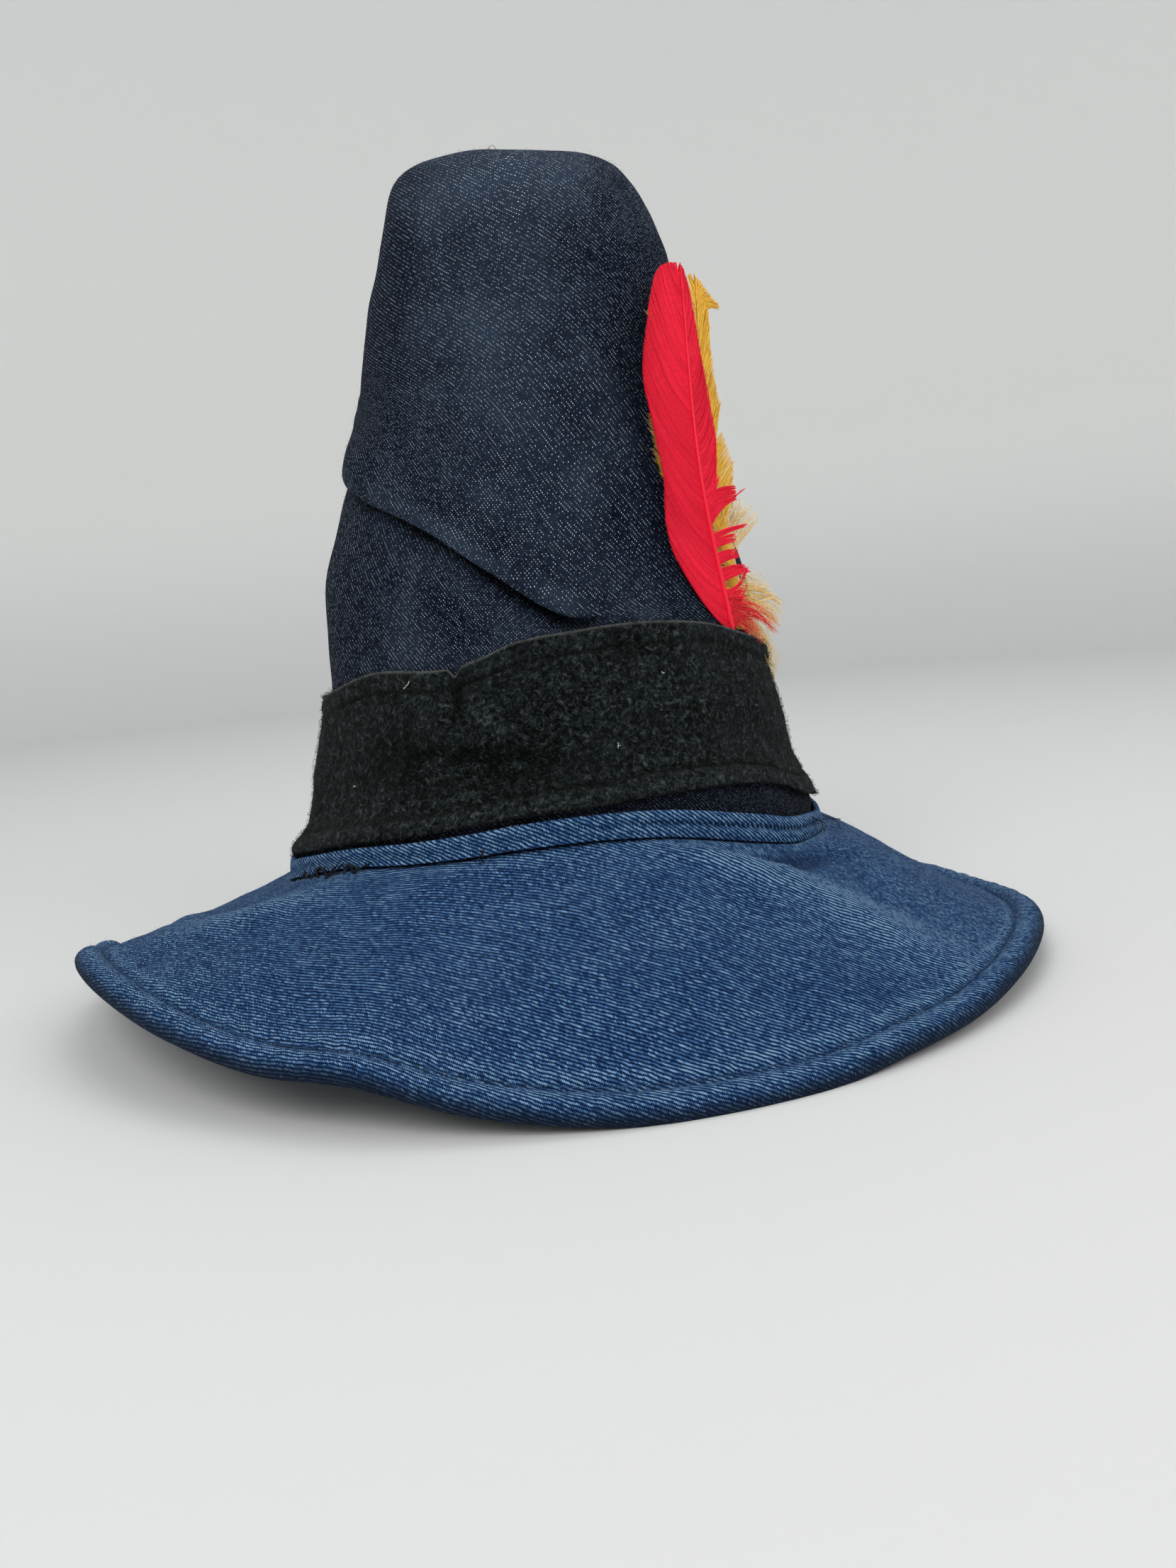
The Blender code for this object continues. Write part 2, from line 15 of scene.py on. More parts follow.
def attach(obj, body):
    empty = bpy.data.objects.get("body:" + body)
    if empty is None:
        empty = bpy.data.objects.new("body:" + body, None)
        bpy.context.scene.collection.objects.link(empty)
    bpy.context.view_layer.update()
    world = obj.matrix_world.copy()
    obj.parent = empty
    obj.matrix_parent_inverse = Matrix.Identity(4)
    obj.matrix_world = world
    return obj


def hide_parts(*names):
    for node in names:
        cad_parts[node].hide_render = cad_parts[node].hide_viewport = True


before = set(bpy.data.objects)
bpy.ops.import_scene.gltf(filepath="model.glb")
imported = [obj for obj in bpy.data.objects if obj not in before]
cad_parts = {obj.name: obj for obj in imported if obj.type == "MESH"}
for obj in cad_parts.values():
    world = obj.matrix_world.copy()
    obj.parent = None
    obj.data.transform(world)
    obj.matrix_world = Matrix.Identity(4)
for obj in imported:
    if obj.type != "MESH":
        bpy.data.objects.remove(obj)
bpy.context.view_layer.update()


def table(fields, *rows, defaults=()):
    """Rows whose values are read by name."""
    kind = namedtuple("Row", fields, defaults=defaults)
    return [kind(*row) for row in rows]


def lines(*rows):
    """Creases between two points, given by azimuth and height or share, with relief and half width."""
    return table("azimuth_a along_a azimuth_b along_b relief half_width", *rows)


def locks(*rows):
    """Groups of a feather's barbs, as the comment over the feathers says."""
    fields = "root_low root_high low_share low_width high_share high_width bow spread count flick"
    return table(fields, *rows, defaults=(1,))


# Driving dimensions, the part's own
SEAM_HEIGHT = 0.0435
SEAM_HALF_WIDTH = 0.1078
SEAM_HALF_DEPTH = 0.0997
RIM_HALF_WIDTH = 0.1822
RIM_HALF_DEPTH = 0.1782
HEM_HALF_WIDTH = 0.005
HEM_HALF_THICKNESS = 0.0031
HEM_PRESS = 0.0006
DENIM = 0.0018
SUEDE = 0.0015
GAP = 0.0004
BAND_EASE = 0.0015
TUCK_ROOM = 0.003
TOP_SLANT = 0.075

# Camera, from the photograph's view of the hat
CAMERA_PLACE = (0.0037, -0.4786, 0.1362)
CAMERA_RIGHT = (0.99568, -0.035, -0.08602)
CAMERA_DOWN = (-0.09009, -0.1394, -0.98613)
PHOTO_HEIGHT = 2212
SENSOR = 36
FOCAL_PIXELS = 1661

SEED = 11

CROWN_SECTIONS = table(
    "height left right depth back tilt square",
    (0.0008, 0.1046, 0.1046, 0.0966), (0.006, 0.1038, 0.104, 0.0964), (0.013, 0.1022, 0.1038, 0.0955),
    (0.0215, 0.0952, 0.0998, 0.0925), (0.03, 0.0932, 0.0954, 0.09), (0.04, 0.0914, 0.0928, 0.0884),
    (0.0495, 0.089, 0.0908, 0.087), (0.0625, 0.0854, 0.0882, 0.0852), (0.0765, 0.0826, 0.0858, 0.0832),
    (0.088, 0.0822, 0.085, 0.0812), (0.098, 0.0826, 0.0838, 0.0791), (0.106, 0.0824, 0.0825, 0.077),
    (0.111, 0.0814, 0.0816, 0.0757), (0.1145, 0.0806, 0.0809, 0.0747), (0.1165, 0.08, 0.0805, 0.0741),
    (0.1225, 0.0782, 0.0793, 0.0725), (0.134, 0.0748, 0.0768, 0.0693), (0.1486, 0.0706, 0.0738, 0.065),
    (0.165, 0.065, 0.0714, 0.0596), (0.183, 0.061, 0.0688, 0.054),
    (0.204, 0.0557, 0.0658, 0.0465, 0, 0, 0.97), (0.2246, 0.0502, 0.0627, 0.0385, 0, 0, 0.93),
    (0.2425, 0.0454, 0.0575, 0.03, 0.003, 7, 0.84), (0.2545, 0.0402, 0.0524, 0.0214, 0.0085, 22, 0.74),
    (0.262, 0.0306, 0.047, 0.014, 0.0175, 50, 0.66), (0.2638, 0.029, 0.043, 0.01, 0.028, 88, 0.64),
    (0.2575, 0.0335, 0.0425, 0.0085, 0.0385, 125, 0.74), (0.24, 0.033, 0.041, 0.008, 0.0465, 155, 0.8),
    (0.22, 0.027, 0.035, 0.0076, 0.0535, 165, 0.85), (0.2, 0.02, 0.028, 0.007, 0.061, 166, 0.9),
    (0.182, 0.0115, 0.0195, 0.0062, 0.067, 166, 0.95), (0.17, 0.005, 0.0125, 0.0046, 0.07, 166),
    defaults=(0, 0, 1),
)
CROWN_BODY = [section for section in CROWN_SECTIONS if section.tilt == 0]
SECTIONS_BELOW_FOLD = 14    # the band lies on these alone

FOLD_LINE = table(
    "azimuth height strength",
    (-180, 0.1165), (-130, 0.14), (-98, 0.157, 0.1), (-82, 0.156, 0.4), (-62, 0.1485, 0.85), (-50, 0.143, 1),
    (-26, 0.1272, 1), (-9, 0.1105, 1), (1, 0.099, 0.95), (8, 0.094, 0.8), (16, 0.0925), (32, 0.093),
    (70, 0.102), (120, 0.1165),
    defaults=(0,),
)
FOLD_ROW = 0.1165
FOLD_REACH_UP = 0.085
FOLD_REACH_DOWN = 0.072
FOLD_SHAPE = table(
    "above out rise",
    (-0.04, 0), (-0.015, -0.001), (-0.0062, -0.0034, 0.0006), (-0.0022, -0.006, 0.0032),
    (0, 0.0036, -0.0026), (0.0055, 0.0048), (0.02, 0.0024), (0.045, 0),
    defaults=(0,),
)

CROWN_CREASES = lines(
    (18, 0.17, -24, 0.118, -0.0028, 0.01), (22, 0.184, -14, 0.136, 0.0022, 0.009),
    (2, 0.118, 20, 0.098, -0.0022, 0.006), (8, 0.124, 26, 0.106, 0.0014, 0.006),
    (-50, 0.205, -20, 0.19, 0.0014, 0.016), (150, 0.15, 200, 0.11, -0.0028, 0.014),
    (120, 0.12, 165, 0.14, 0.0022, 0.012),
)
CROWN_CREASE_LIGHT = lines(    # relief is the painted light along the line: above 0 a painted highlight, below 0 painted shade
    (0, 0.128, 13, 0.103, 0.6, 0.0042), (20, 0.12, 36, 0.101, 0.55, 0.005),
    (9, 0.136, -10, 0.12, -0.45, 0.007), (-28, 0.106, -36, 0.08, 0.45, 0.004),
    (-44, 0.128, -48, 0.1, 0.3, 0.005),
)

RINGS = table(
    "azimuth seam collar band_low band_high",
    (-120, 0.002, 0.0072, 0.012, 0.073), (-80, 0, 0.0078, 0.0094, 0.0693),
    (-60, 0.0065, 0.007, 0.0152, 0.074), (-43, 0.0126, 0.0064, 0.0205, 0.079),
    (-24, 0.0155, 0.007, 0.0248, 0.0785), (-15, 0.017, 0.0074, 0.0268, 0.081),
    (-6, 0.0187, 0.0078, 0.0288, 0.0857), (8, 0.0193, 0.0082, 0.0302, 0.0879),
    (22, 0.017, 0.0088, 0.0312, 0.0889), (40, 0.0098, 0.0096, 0.0297, 0.0868),
    (54, 0.0045, 0.0092, 0.0255, 0.0815), (66, 0.003, 0.0082, 0.0185, 0.0775),
    (82, 0.001, 0.0078, 0.015, 0.0745), (120, 0.006, 0.0076, 0.018, 0.073), (180, 0.01, 0.0076, 0.02, 0.074),
)

RIM = table(
    "azimuth lift ease",
    (-180, 0, 0.3), (-150, 0, 0.3), (-128, 0, 0.2), (-106, 0.0045), (-90, 0.0115), (-78, 0.021),
    (-67, 0.028), (-54, 0.028), (-40, 0.022), (-29, 0.0166), (-19, 0.0152), (-10, 0.008), (0, 0.0024),
    (9, 0), (23, 0, 0.1), (32, 0.0024, 0.2), (42, 0.0038, 0.4), (52, 0.0066, 0.7), (62, 0.0086, 1),
    (74, 0.0076, 1), (86, 0.0036, 0.9), (100, 0, 0.8), (140, 0, 0.4),
    defaults=(0,),
)

BRIM_FOLDS = lines(
    (-43, 0.18, -60, 0.66, 0.0032, 0.009), (-64, 0.5, -74, 0.62, 0.0014, 0.008),
    (20, 0.02, 38, 0.26, 0.0046, 0.008), (38, 0.26, 49, 0.78, 0.004, 0.012),
    (30, 0.06, 58, 0.14, -0.0046, 0.008), (118, 0.1, 128, 0.8, -0.0035, 0.014),
    (-122, 0.1, -132, 0.85, -0.0035, 0.014), (172, 0.15, 180, 0.85, 0.003, 0.016),
)
BAND_PUCKER = lines((-23, 0.079, -12, 0.048, -0.002, 0.006))
BAND_PUCKERS = lines(
    (-22, 1, -17, 0.6, -0.003, 0.0034), (-27, 0.95, -19, 0.5, 0.003, 0.006),
    (-17, 0.95, -8, 0.55, 0.0026, 0.007), (-32, 0.42, -6, 0.28, -0.0024, 0.0056),
    (-44, 0.3, -30, 0.75, -0.0014, 0.008), (30, 0.25, 44, 0.6, 0.0012, 0.009),
)
BAND_PAINTED_LIGHT = lines(    # relief is painted light here: above 0 a painted sheen makes the nap paler, below 0 painted shadow darkens it
    (-20.5, 1.02, -19.5, 0.72, -0.11, 0.0022), (-22, 0.84, -5, 0.44, 0.06, 0.0028),
    (-40, 0.5, -22, 0.4, -0.07, 0.008), (-24, 0.4, 2, 0.28, -0.09, 0.006),
    (-30, 0.95, -27, 0.6, 0.025, 0.006), (18, 0.55, 40, 0.7, 0.02, 0.01),
)
NICK_AZIMUTH = -20.5    # the nick in the band's upper edge
NICK_HALF_WIDTH = 1.3
NICK_DEPTH = 0.003

# Feathers: the points of a shaft lie at these shares of its length. Widths are millimetres from the shaft,
# to the right as seen from the front. A lock's barbs leave the shaft between two shares and end between two
# points; bow is how far they sag, spread how far their ends stray in millimetres.
SHAFT_SHARES = (0, 0.155, 0.53, 1)
FEATHER_LENGTH = 0.159
Feather = namedtuple("Feather", "shaft facing curl")
RED = Feather(
    shaft=(
        (0.0733, -0.053, 0.1014), (0.0704, -0.0509, 0.1254),
        (0.0628, -0.0485, 0.1845), (0.0628, -0.035, 0.258),
    ),
    facing=(0.62, -0.78, 0.08),
    curl=-4,
)
YELLOW = Feather(
    shaft=(
        (0.0822, -0.0402, 0.0979), (0.0785, -0.0387, 0.1218),
        (0.0724, -0.0328, 0.19), (0.0748, -0.018, 0.256),
    ),
    facing=(0.7, -0.71, 0.05),
    curl=3,
)
RED_LEFT = table(
    "share width",
    (0.1, -4), (0.19, -10.3), (0.27, -15), (0.35, -22.4), (0.42, -23.4), (0.5, -20), (0.59, -21.6),
    (0.71, -24.8), (0.85, -19.5), (0.94, -14.5), (0.975, -10.5), (0.992, -6), (1, -1.5),
)
RED_RIGHT = table(
    "share width",
    (0.44, 1.5), (0.47, 5), (0.52, 8.5), (0.61, 10.7), (0.72, 9), (0.81, 7), (0.92, 4.7), (0.96, 3.6),
    (0.985, 2.2), (1, 0.4),
)
YELLOW_LEFT = table(
    "share width",
    (0.2, -3), (0.3, -7), (0.5, -13), (0.75, -17), (0.9, -16), (0.97, -13), (1, -9),
)
RED_LOCKS = locks(
    (0.392, 0.458, 0.45, 16, 0.486, 16.6, -0.01, 0.4, 90),
    (0.43, 0.448, 0.474, 19, 0.478, 21.5, 0.012, 0.4, 9), (0.45, 0.475, 0.5, 9.5, 0.52, 9, 0.01, 0.4, 24),
    (0.362, 0.378, 0.382, 17, 0.389, 18.8, -0.004, 0.3, 18),
    (0.344, 0.36, 0.352, 11.8, 0.372, 12.3, -0.004, 0.3, 20),
    (0.306, 0.334, 0.316, 11.2, 0.334, 12, -0.004, 0.4, 34),
    (0.268, 0.298, 0.278, 15.4, 0.296, 13.4, -0.004, 0.5, 40),
    (0.214, 0.254, 0.224, 10, 0.262, 10.5, 0.006, 0.5, 44),
    (0.24, 0.254, 0.288, 14.2, 0.292, 15, 0.016, 0.5, 8), (0.205, 0.222, 0.25, 12, 0.256, 13, 0.016, 0.6, 8),
)
RED_DOWN = locks(
    (0.165, 0.215, 0.118, 13.5, 0.196, 16, -0.02, 2.2, 46),
    (0.165, 0.205, 0.132, 21, 0.162, 24, -0.03, 2, 26), (0.2, 0.235, 0.2, 9.5, 0.226, 10.5, -0.006, 1.2, 18),
)
YELLOW_LOCKS = locks(
    (0.8, 0.9, 0.94, 6.9, 1, -8, -0.012, 0.2, 170, 3),
    (0.82, 0.86, 0.936, 7.2, 0.952, 6.2, -0.02, 0.2, 40, 3.4),
    (0.68, 0.82, 0.868, -0.2, 0.94, -3.2, 0.016, 0.3, 140, 1.4),
    (0.64, 0.74, 0.8, -3, 0.862, -0.2, 0.016, 0.3, 100, 1.4),
    (0.64, 0.68, 0.77, 1.4, 0.806, 0.6, 0.016, 0.3, 26, 1.8),
    (0.5, 0.64, 0.65, 4.4, 0.762, 1.4, 0.02, 0.5, 130, 1.3),
    (0.48, 0.58, 0.588, 0.6, 0.676, 5.2, 0.02, 0.5, 90, 1.3),
    (0.4, 0.5, 0.52, 9, 0.592, 4, 0.018, 0.4, 90, 2.6),
    (0.35, 0.44, 0.444, 6.2, 0.526, 9.6, 0.014, 0.5, 90, 1.5),
)
YELLOW_DOWN = locks(
    (0.33, 0.4, 0.392, 17, 0.452, 10, 0.004, 2.6, 34), (0.34, 0.4, 0.398, 22, 0.43, 19, 0.004, 2, 16),
    (0.22, 0.3, 0.232, 22, 0.268, 19, 0, 2.4, 34), (0.2, 0.27, 0.178, 24, 0.228, 33, -0.008, 2.4, 44),
    (0.13, 0.19, 0.03, 0, 0.08, 6, -0.03, 2.6, 30), (0.12, 0.19, 0.046, 1, 0.118, 9, -0.03, 2.6, 44),
    (0.12, 0.19, 0.04, 9, 0.096, 20, -0.034, 2.6, 50), (0.16, 0.24, 0.12, 12, 0.19, 25, -0.016, 2.8, 46),
)
YELLOW_EDGE = locks(
    (0.62, 0.76, 0.838, -32.5, 0.85, -31, 0.01, 0.5, 16),
    (0.42, 0.52, 0.52, -32.6, 0.596, -34.6, 0.012, 0.7, 60),
    (0.36, 0.44, 0.478, -31.6, 0.52, -33, 0.012, 0.4, 50),
    (0.18, 0.38, 0.22, -22, 0.4, -33.2, 0.012, 0.5, 90),
)
YELLOW_BASE = -7    # the yellow vane's visible locks start this far from its shaft, behind the red vane
YELLOW_WISPS = locks(
    (0.7, 0.74, 0.84, -33.5, 0.852, -31, 0.01, 0.8, 12), (0.45, 0.5, 0.56, -35, 0.592, -35, 0.01, 0.9, 10),
    (0.4, 0.46, 0.5, -33.5, 0.54, -34, 0.01, 1.2, 20), (0.3, 0.4, 0.33, -31, 0.44, -32, 0.01, 1.2, 22),
)

# Threads and fibres
HEM_PLUMP = 0.32         # how much further the roll stands up than it hangs down
HEM_KNOB = -84           # azimuth of the thick place where the roll's ends meet
HEM_STITCHES = 330
HEM_STITCH_SHARE = 0.934
SEAM_STITCHES = (-59, -57.5, -56, -53.5, -52, -49, -46.5, -45, -42, -40.5, -38)
SEAM_LOOPS = ((-50.5, -0.0026, 0.0022), (-46, -0.002, -0.004), (-41, -0.0028, 0.0014))
LOOSE_ENDS = (    # azimuth, metres up the collar, how far out and how far down they reach
    (63, 0.007, 0.003, 0.005), (65, 0.006, 0.0045, 0.0046), (78, 0.005, 0.006, 0.005),
    (80, 0.003, 0.007, 0.001), (-58, 0, 0.005, 0.002), (-52, 0.001, 0.0034, 0.0032),
    (-13, 0.002, 0.002, 0.005), (-12.5, 0.002, 0.003, 0.0042),
)
TOP_LOOP = (    # a brown thread end, where the photo shows it on the top fold
    (-0.0022, 0.0088, 0.316), (-0.0022, 0.0085, 0.3176), (-0.0014, 0.0084, 0.3184),
    (-0.0004, 0.0084, 0.3185), (0.0004, 0.0085, 0.3176), (0.0002, 0.0088, 0.316),
)
LINT = (    # azimuth, share of the band's height and length
    (-33, 0.9, 0.0032), (13.5, 0.31, 0.0013), (26, 0.7, 0.0012), (-48, 0.35, 0.0012),
    (160, 0.6, 0.003), (120, 0.3, 0.0016),
)
THREAD = 0.00018         # radius
HEM_STITCH = (    # share of the way to the next stitch, and height
    (-0.36, -0.0006), (-0.26, 0.0001), (0, 0.0003), (0.26, 0.0001), (0.36, -0.0006),
)
HAIR_CURVE = ((0.35, 0, 0.4), (0.75, 0.3, 0.45), (0.9, 0.9, 0.2))    # ahead, to the side and up
CLUMPS = 17              # of barbs on one side of a vane
BARB_STEPS = 9
BARBULES = 60            # on one soft barb
NAP_HAIRS = 18000
FUZZ_HAIRS = 9000

# Fineness of the cloth meshes, and the sizes that their relief is laid out on
CROWN_SEGMENTS = 240
CROWN_ROWS = 200
CROWN_CROWDING = 26
CROWN_RADIUS = 0.075
FOLD_FINENESS = 3        # how much closer the rows lie at the overhanging fold
BRIM_SEGMENTS = 560
BRIM_UPPER_ROWS = 64
BRIM_LOWER_ROWS = 18
HEM_START = 0.925        # share of the way from seam to hem
BRIM_RADIUS = 0.14
BRIM_SLOPE = 0.088
HEM_ROWS = 22
HEM_TURNS = np.linspace(165, -150, HEM_ROWS)
BAND_SEGMENTS = 520
BAND_ROWS = 56
BAND_RADIUS = 0.092
BAND_WIDTH = 0.056
BAND_GROOVE = 0.0068     # from either edge
COLLAR_SEGMENTS = 520
COLLAR_SHARES = np.linspace(0, 1, 18)
COLLAR_RADIUS = 0.104
COLLAR_WIDTH = 0.0078
FRONT_CROWDING = 20      # how far the columns are moved towards the front at most, in degrees

# Cut of the cloth: the crown and the brim lie flat as parts of a ring round these apexes
CROWN_APEX = 0.43
CROWN_TURN = 0.235
BRIM_APEX = 0.134
BRIM_TURN = 0.78


def hermite(keys, values, wanted):
    """Values at wanted keys on a smooth curve through the given ones."""
    keys, values = np.asarray(keys, float), np.asarray(values, float)
    wanted = np.clip(wanted, keys[0], keys[-1])
    order = np.arange(len(keys))
    low, high = np.maximum(order - 1, 0), np.minimum(order + 1, len(keys) - 1)
    tail = (1,) * (values.ndim - 1)
    slopes = (values[high] - values[low]) / (keys[high] - keys[low]).reshape(-1, *tail)
    i = np.clip(np.searchsorted(keys, wanted, side="right") - 1, 0, len(keys) - 2)
    span = keys[i + 1] - keys[i]
    share = np.reshape((wanted - keys[i]) / span, np.shape(span) + tail)
    span = np.reshape(span, np.shape(share))
    square, cube = share ** 2, share ** 3
    return (
        values[i] * (2 * cube - 3 * square + 1)
        + slopes[i] * span * (cube - 2 * square + share)
        + values[i + 1] * (3 * square - 2 * cube)
        + slopes[i + 1] * span * (cube - square)
    )


def column(rows, name, wanted, period=None):
    """A column of a table at keys between its rows. The rows' first column holds the keys."""
    keys = np.array([row[0] for row in rows], float)
    values = np.array([getattr(row, name) for row in rows], float)
    wanted = np.asarray(wanted, float)
    if period:
        wanted = (wanted - keys[0]) % period + keys[0]
        keys = np.concatenate(([keys[-1] - period], keys, keys[:2] + period))
        values = np.concatenate(([values[-1]], values, values[:2]))
    return hermite(keys, values, wanted)


def around(rows, name, azimuth):
    """A column of a table that runs all round the hat."""
    return column(rows, name, azimuth, 360)


def step(low, high, value):
    """0 below low, 1 above high, and a smooth rise between."""
    share = np.clip((value - low) / (high - low), 0, 1)
    return share * share * (3 - 2 * share)


def between(start, full, fading, end, value):
    """1 from full to fading, with a smooth rise before and a smooth fall after."""
    return step(start, full, value) * (1 - step(fading, end, value))


def bell(value, middle, half_width):
    """1 at the middle, with a soft fall to both sides."""
    return np.exp(-(((value - middle) / half_width) ** 2))


def line_relief(line, azimuth, along, degree_size, along_size):
    """How far a crease raises the points at these azimuths and heights or shares."""
    middle = (line.azimuth_a + line.azimuth_b) / 2
    turn = (azimuth - middle + 180) % 360 - 180 + middle
    across = (turn - line.azimuth_a) * degree_size
    along = (along - line.along_a) * along_size
    run_across = (line.azimuth_b - line.azimuth_a) * degree_size
    run_along = (line.along_b - line.along_a) * along_size
    share = (across * run_across + along * run_along) / (run_across ** 2 + run_along ** 2)
    share = np.clip(share, 0, 1)
    away = np.hypot(across - run_across * share, along - run_along * share)
    ends = 0.35 + 0.65 * np.sin(np.pi * np.clip(share, 0.08, 0.92))
    return line.relief * bell(away, 0, line.half_width) * ends


def relief_of(lines, azimuth, along, radius, along_size=1):
    """How far all the creases of a table raise the points, on cloth with this radius."""
    return sum(line_relief(line, azimuth, along, np.radians(radius), along_size) for line in lines)


def azimuths(count, crowding=0):
    """Evenly spread azimuths from -180, or crowded towards the front."""
    turn = np.arange(count) / count
    return 360 * turn - 180 + crowding * np.sin(2 * np.pi * turn)


def closed(azimuth):
    """The azimuths with the first one repeated a full turn on, for the cloth's own coordinates."""
    return np.append(azimuth, azimuth[0] + 360)


def waves(a, b, size, seed):
    """A soft uneven field over two lengths, between about -1 and 1, with features of this size."""
    draw = np.random.default_rng(seed)
    field = 0
    for _ in range(9):
        heading = draw.uniform(0, 2 * np.pi)
        pitch = size * draw.uniform(0.7, 1.6)
        phase = draw.uniform(0, 2 * np.pi)
        field = field + np.sin((a * np.cos(heading) + b * np.sin(heading)) * 2 * np.pi / pitch + phase)
    return field / 4.5


def unit(vectors):
    """The vectors at length 1."""
    return vectors / np.maximum(np.linalg.norm(vectors, axis=-1, keepdims=True), 1e-12)


def outward(points):
    """Level unit vectors away from the middle."""
    return unit(points * (1, 1, 0))


def oval(turn, half_width, half_depth, height):
    """Points of an oval at these turns from the front."""
    axes = (half_width * np.sin(turn), -half_depth * np.cos(turn), height)
    return np.stack(np.broadcast_arrays(*axes), axis=-1)


def face_normals(points):
    """Unit normals of rings of points, outward for rings that rise and points that run to the right."""
    across = np.roll(points, -1, axis=1) - np.roll(points, 1, axis=1)
    return unit(np.cross(across, np.gradient(points, axis=0)))


def mean_reach(rings, weights=1):
    """How far each ring lies along the surface, on average, from the first one."""
    steps = np.linalg.norm(np.diff(rings, axis=0), axis=2).mean(axis=1)
    return np.concatenate(([0], np.cumsum(steps * weights)))


def refine(rings, count, weights):
    """A smooth surface through rings, as count rings that lie closer where the weights are high."""
    reach, weighted = mean_reach(rings), mean_reach(rings, weights)
    wanted = np.interp(np.linspace(0, weighted[-1], count), weighted, reach)
    return hermite(reach, rings, wanted), wanted


def cone_cut(azimuth, slant, turn):
    """Where rings of points lie on the flat cloth, which is cut as part of a ring round an apex: slant is
    the way from there. A last column repeats the first a full turn on."""
    angle = np.radians(closed(azimuth)) * turn
    slant = slant[:, None]
    return np.stack((slant * np.sin(angle), -slant * np.cos(angle)), axis=2)


def fold_at(azimuth, height):
    """How far the crown's overhang moves the cloth out and up at this section."""
    strength = np.clip(around(FOLD_LINE, "strength", azimuth), 0, 1)
    above = height - FOLD_ROW
    reach = FOLD_REACH_UP if above > 0 else FOLD_REACH_DOWN
    shift = (around(FOLD_LINE, "height", azimuth) - FOLD_ROW) * (1 - step(0, reach, abs(above)))
    return column(FOLD_SHAPE, "out", above) * strength, column(FOLD_SHAPE, "rise", above) * strength, shift


def signed_power(value, power):
    """A power that keeps the value's sign."""
    return np.sign(value) * np.abs(value) ** power


def crown_ring(section, azimuth):
    """One ring of the crown's outer face."""
    turn = np.radians(azimuth)
    left, right, depth, square = section.left, section.right, section.depth, section.square
    out, rise = 0, 0
    if section.tilt == 0:
        out, rise, shift = fold_at(azimuth, section.height)
        left, right, depth, square = (
            column(CROWN_BODY, name, section.height + shift) for name in ("left", "right", "depth", "square")
        )
        rise = rise + shift + around(RINGS, "seam", azimuth) * (1 - step(0.001, 0.06, section.height))
        out = out + relief_of(CROWN_CREASES, azimuth, section.height, (left + right) / 2)
    middle = (right - left) / 2
    x = middle + signed_power(np.sin(turn), square) * ((left + right) / 2 + out)
    reach = signed_power(np.cos(turn), square) * (depth + out)
    tilt = math.radians(section.tilt)
    slant = TOP_SLANT * step(0.215, 0.262, section.height + 0.02 * step(0, 60, section.tilt))
    y = section.back - reach * math.cos(tilt)
    z = SEAM_HEIGHT + section.height + rise + reach * math.sin(tilt) - slant * (x - middle)
    return np.stack((x, y, z), axis=1)


def crown_rings(azimuth, sections=CROWN_SECTIONS):
    return np.stack([crown_ring(section, azimuth) for section in sections])


def crown_face_at(azimuth, height):
    """The crown's outer face at true heights over the seam, below the fold: points, by azimuth."""
    rings = crown_rings(azimuth, CROWN_SECTIONS[:SECTIONS_BELOW_FOLD])
    face = np.empty((len(azimuth), 3))
    for i, wanted in enumerate(height + SEAM_HEIGHT):
        face[i] = [np.interp(wanted, rings[:, i, 2], rings[:, i, axis]) for axis in range(3)]
    return face


def add_mesh(name, points, faces, material, marks, uv=None):
    """A smooth piece of the scene, with named marks per point and, for cloth, its flat coordinates."""
    mesh = bpy.data.meshes.new(name)
    mesh.from_pydata(np.reshape(points, (-1, 3)).tolist(), [], np.reshape(faces, (-1, 4)).tolist())
    if uv is not None:
        mesh.uv_layers.new(name="cloth").data.foreach_set("uv", uv.astype(np.float32).ravel())
    for mark, values in marks.items():
        layer = mesh.attributes.new(mark, "FLOAT", "POINT")
        layer.data.foreach_set("value", np.asarray(values, np.float32).ravel())
    mesh.materials.append(material)
    mesh.shade_smooth()
    piece = bpy.data.objects.new(name, mesh)
    bpy.context.scene.collection.objects.link(piece)
    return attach(piece, "root")


def add_rings(name, points, cloth, material, marks, shell=False):
    """A piece made of quads over rings of points. A shell's last ring is joined to its first."""
    rows, cols = points.shape[:2]
    r, c = np.meshgrid(np.arange(rows - (not shell)), np.arange(cols), indexing="ij")
    r, c = r.ravel(), c.ravel()
    r_next, c_next = (r + 1) % rows, (c + 1) % cols
    faces = np.stack((r * cols + c, r * cols + c_next, r_next * cols + c_next, r_next * cols + c), axis=1)
    uv = None
    if cloth is not None:
        uv = np.stack((cloth[r, c], cloth[r, c + 1], cloth[r + 1, c + 1], cloth[r + 1, c]), axis=1)
    return add_mesh(name, points, faces, material, marks, uv)


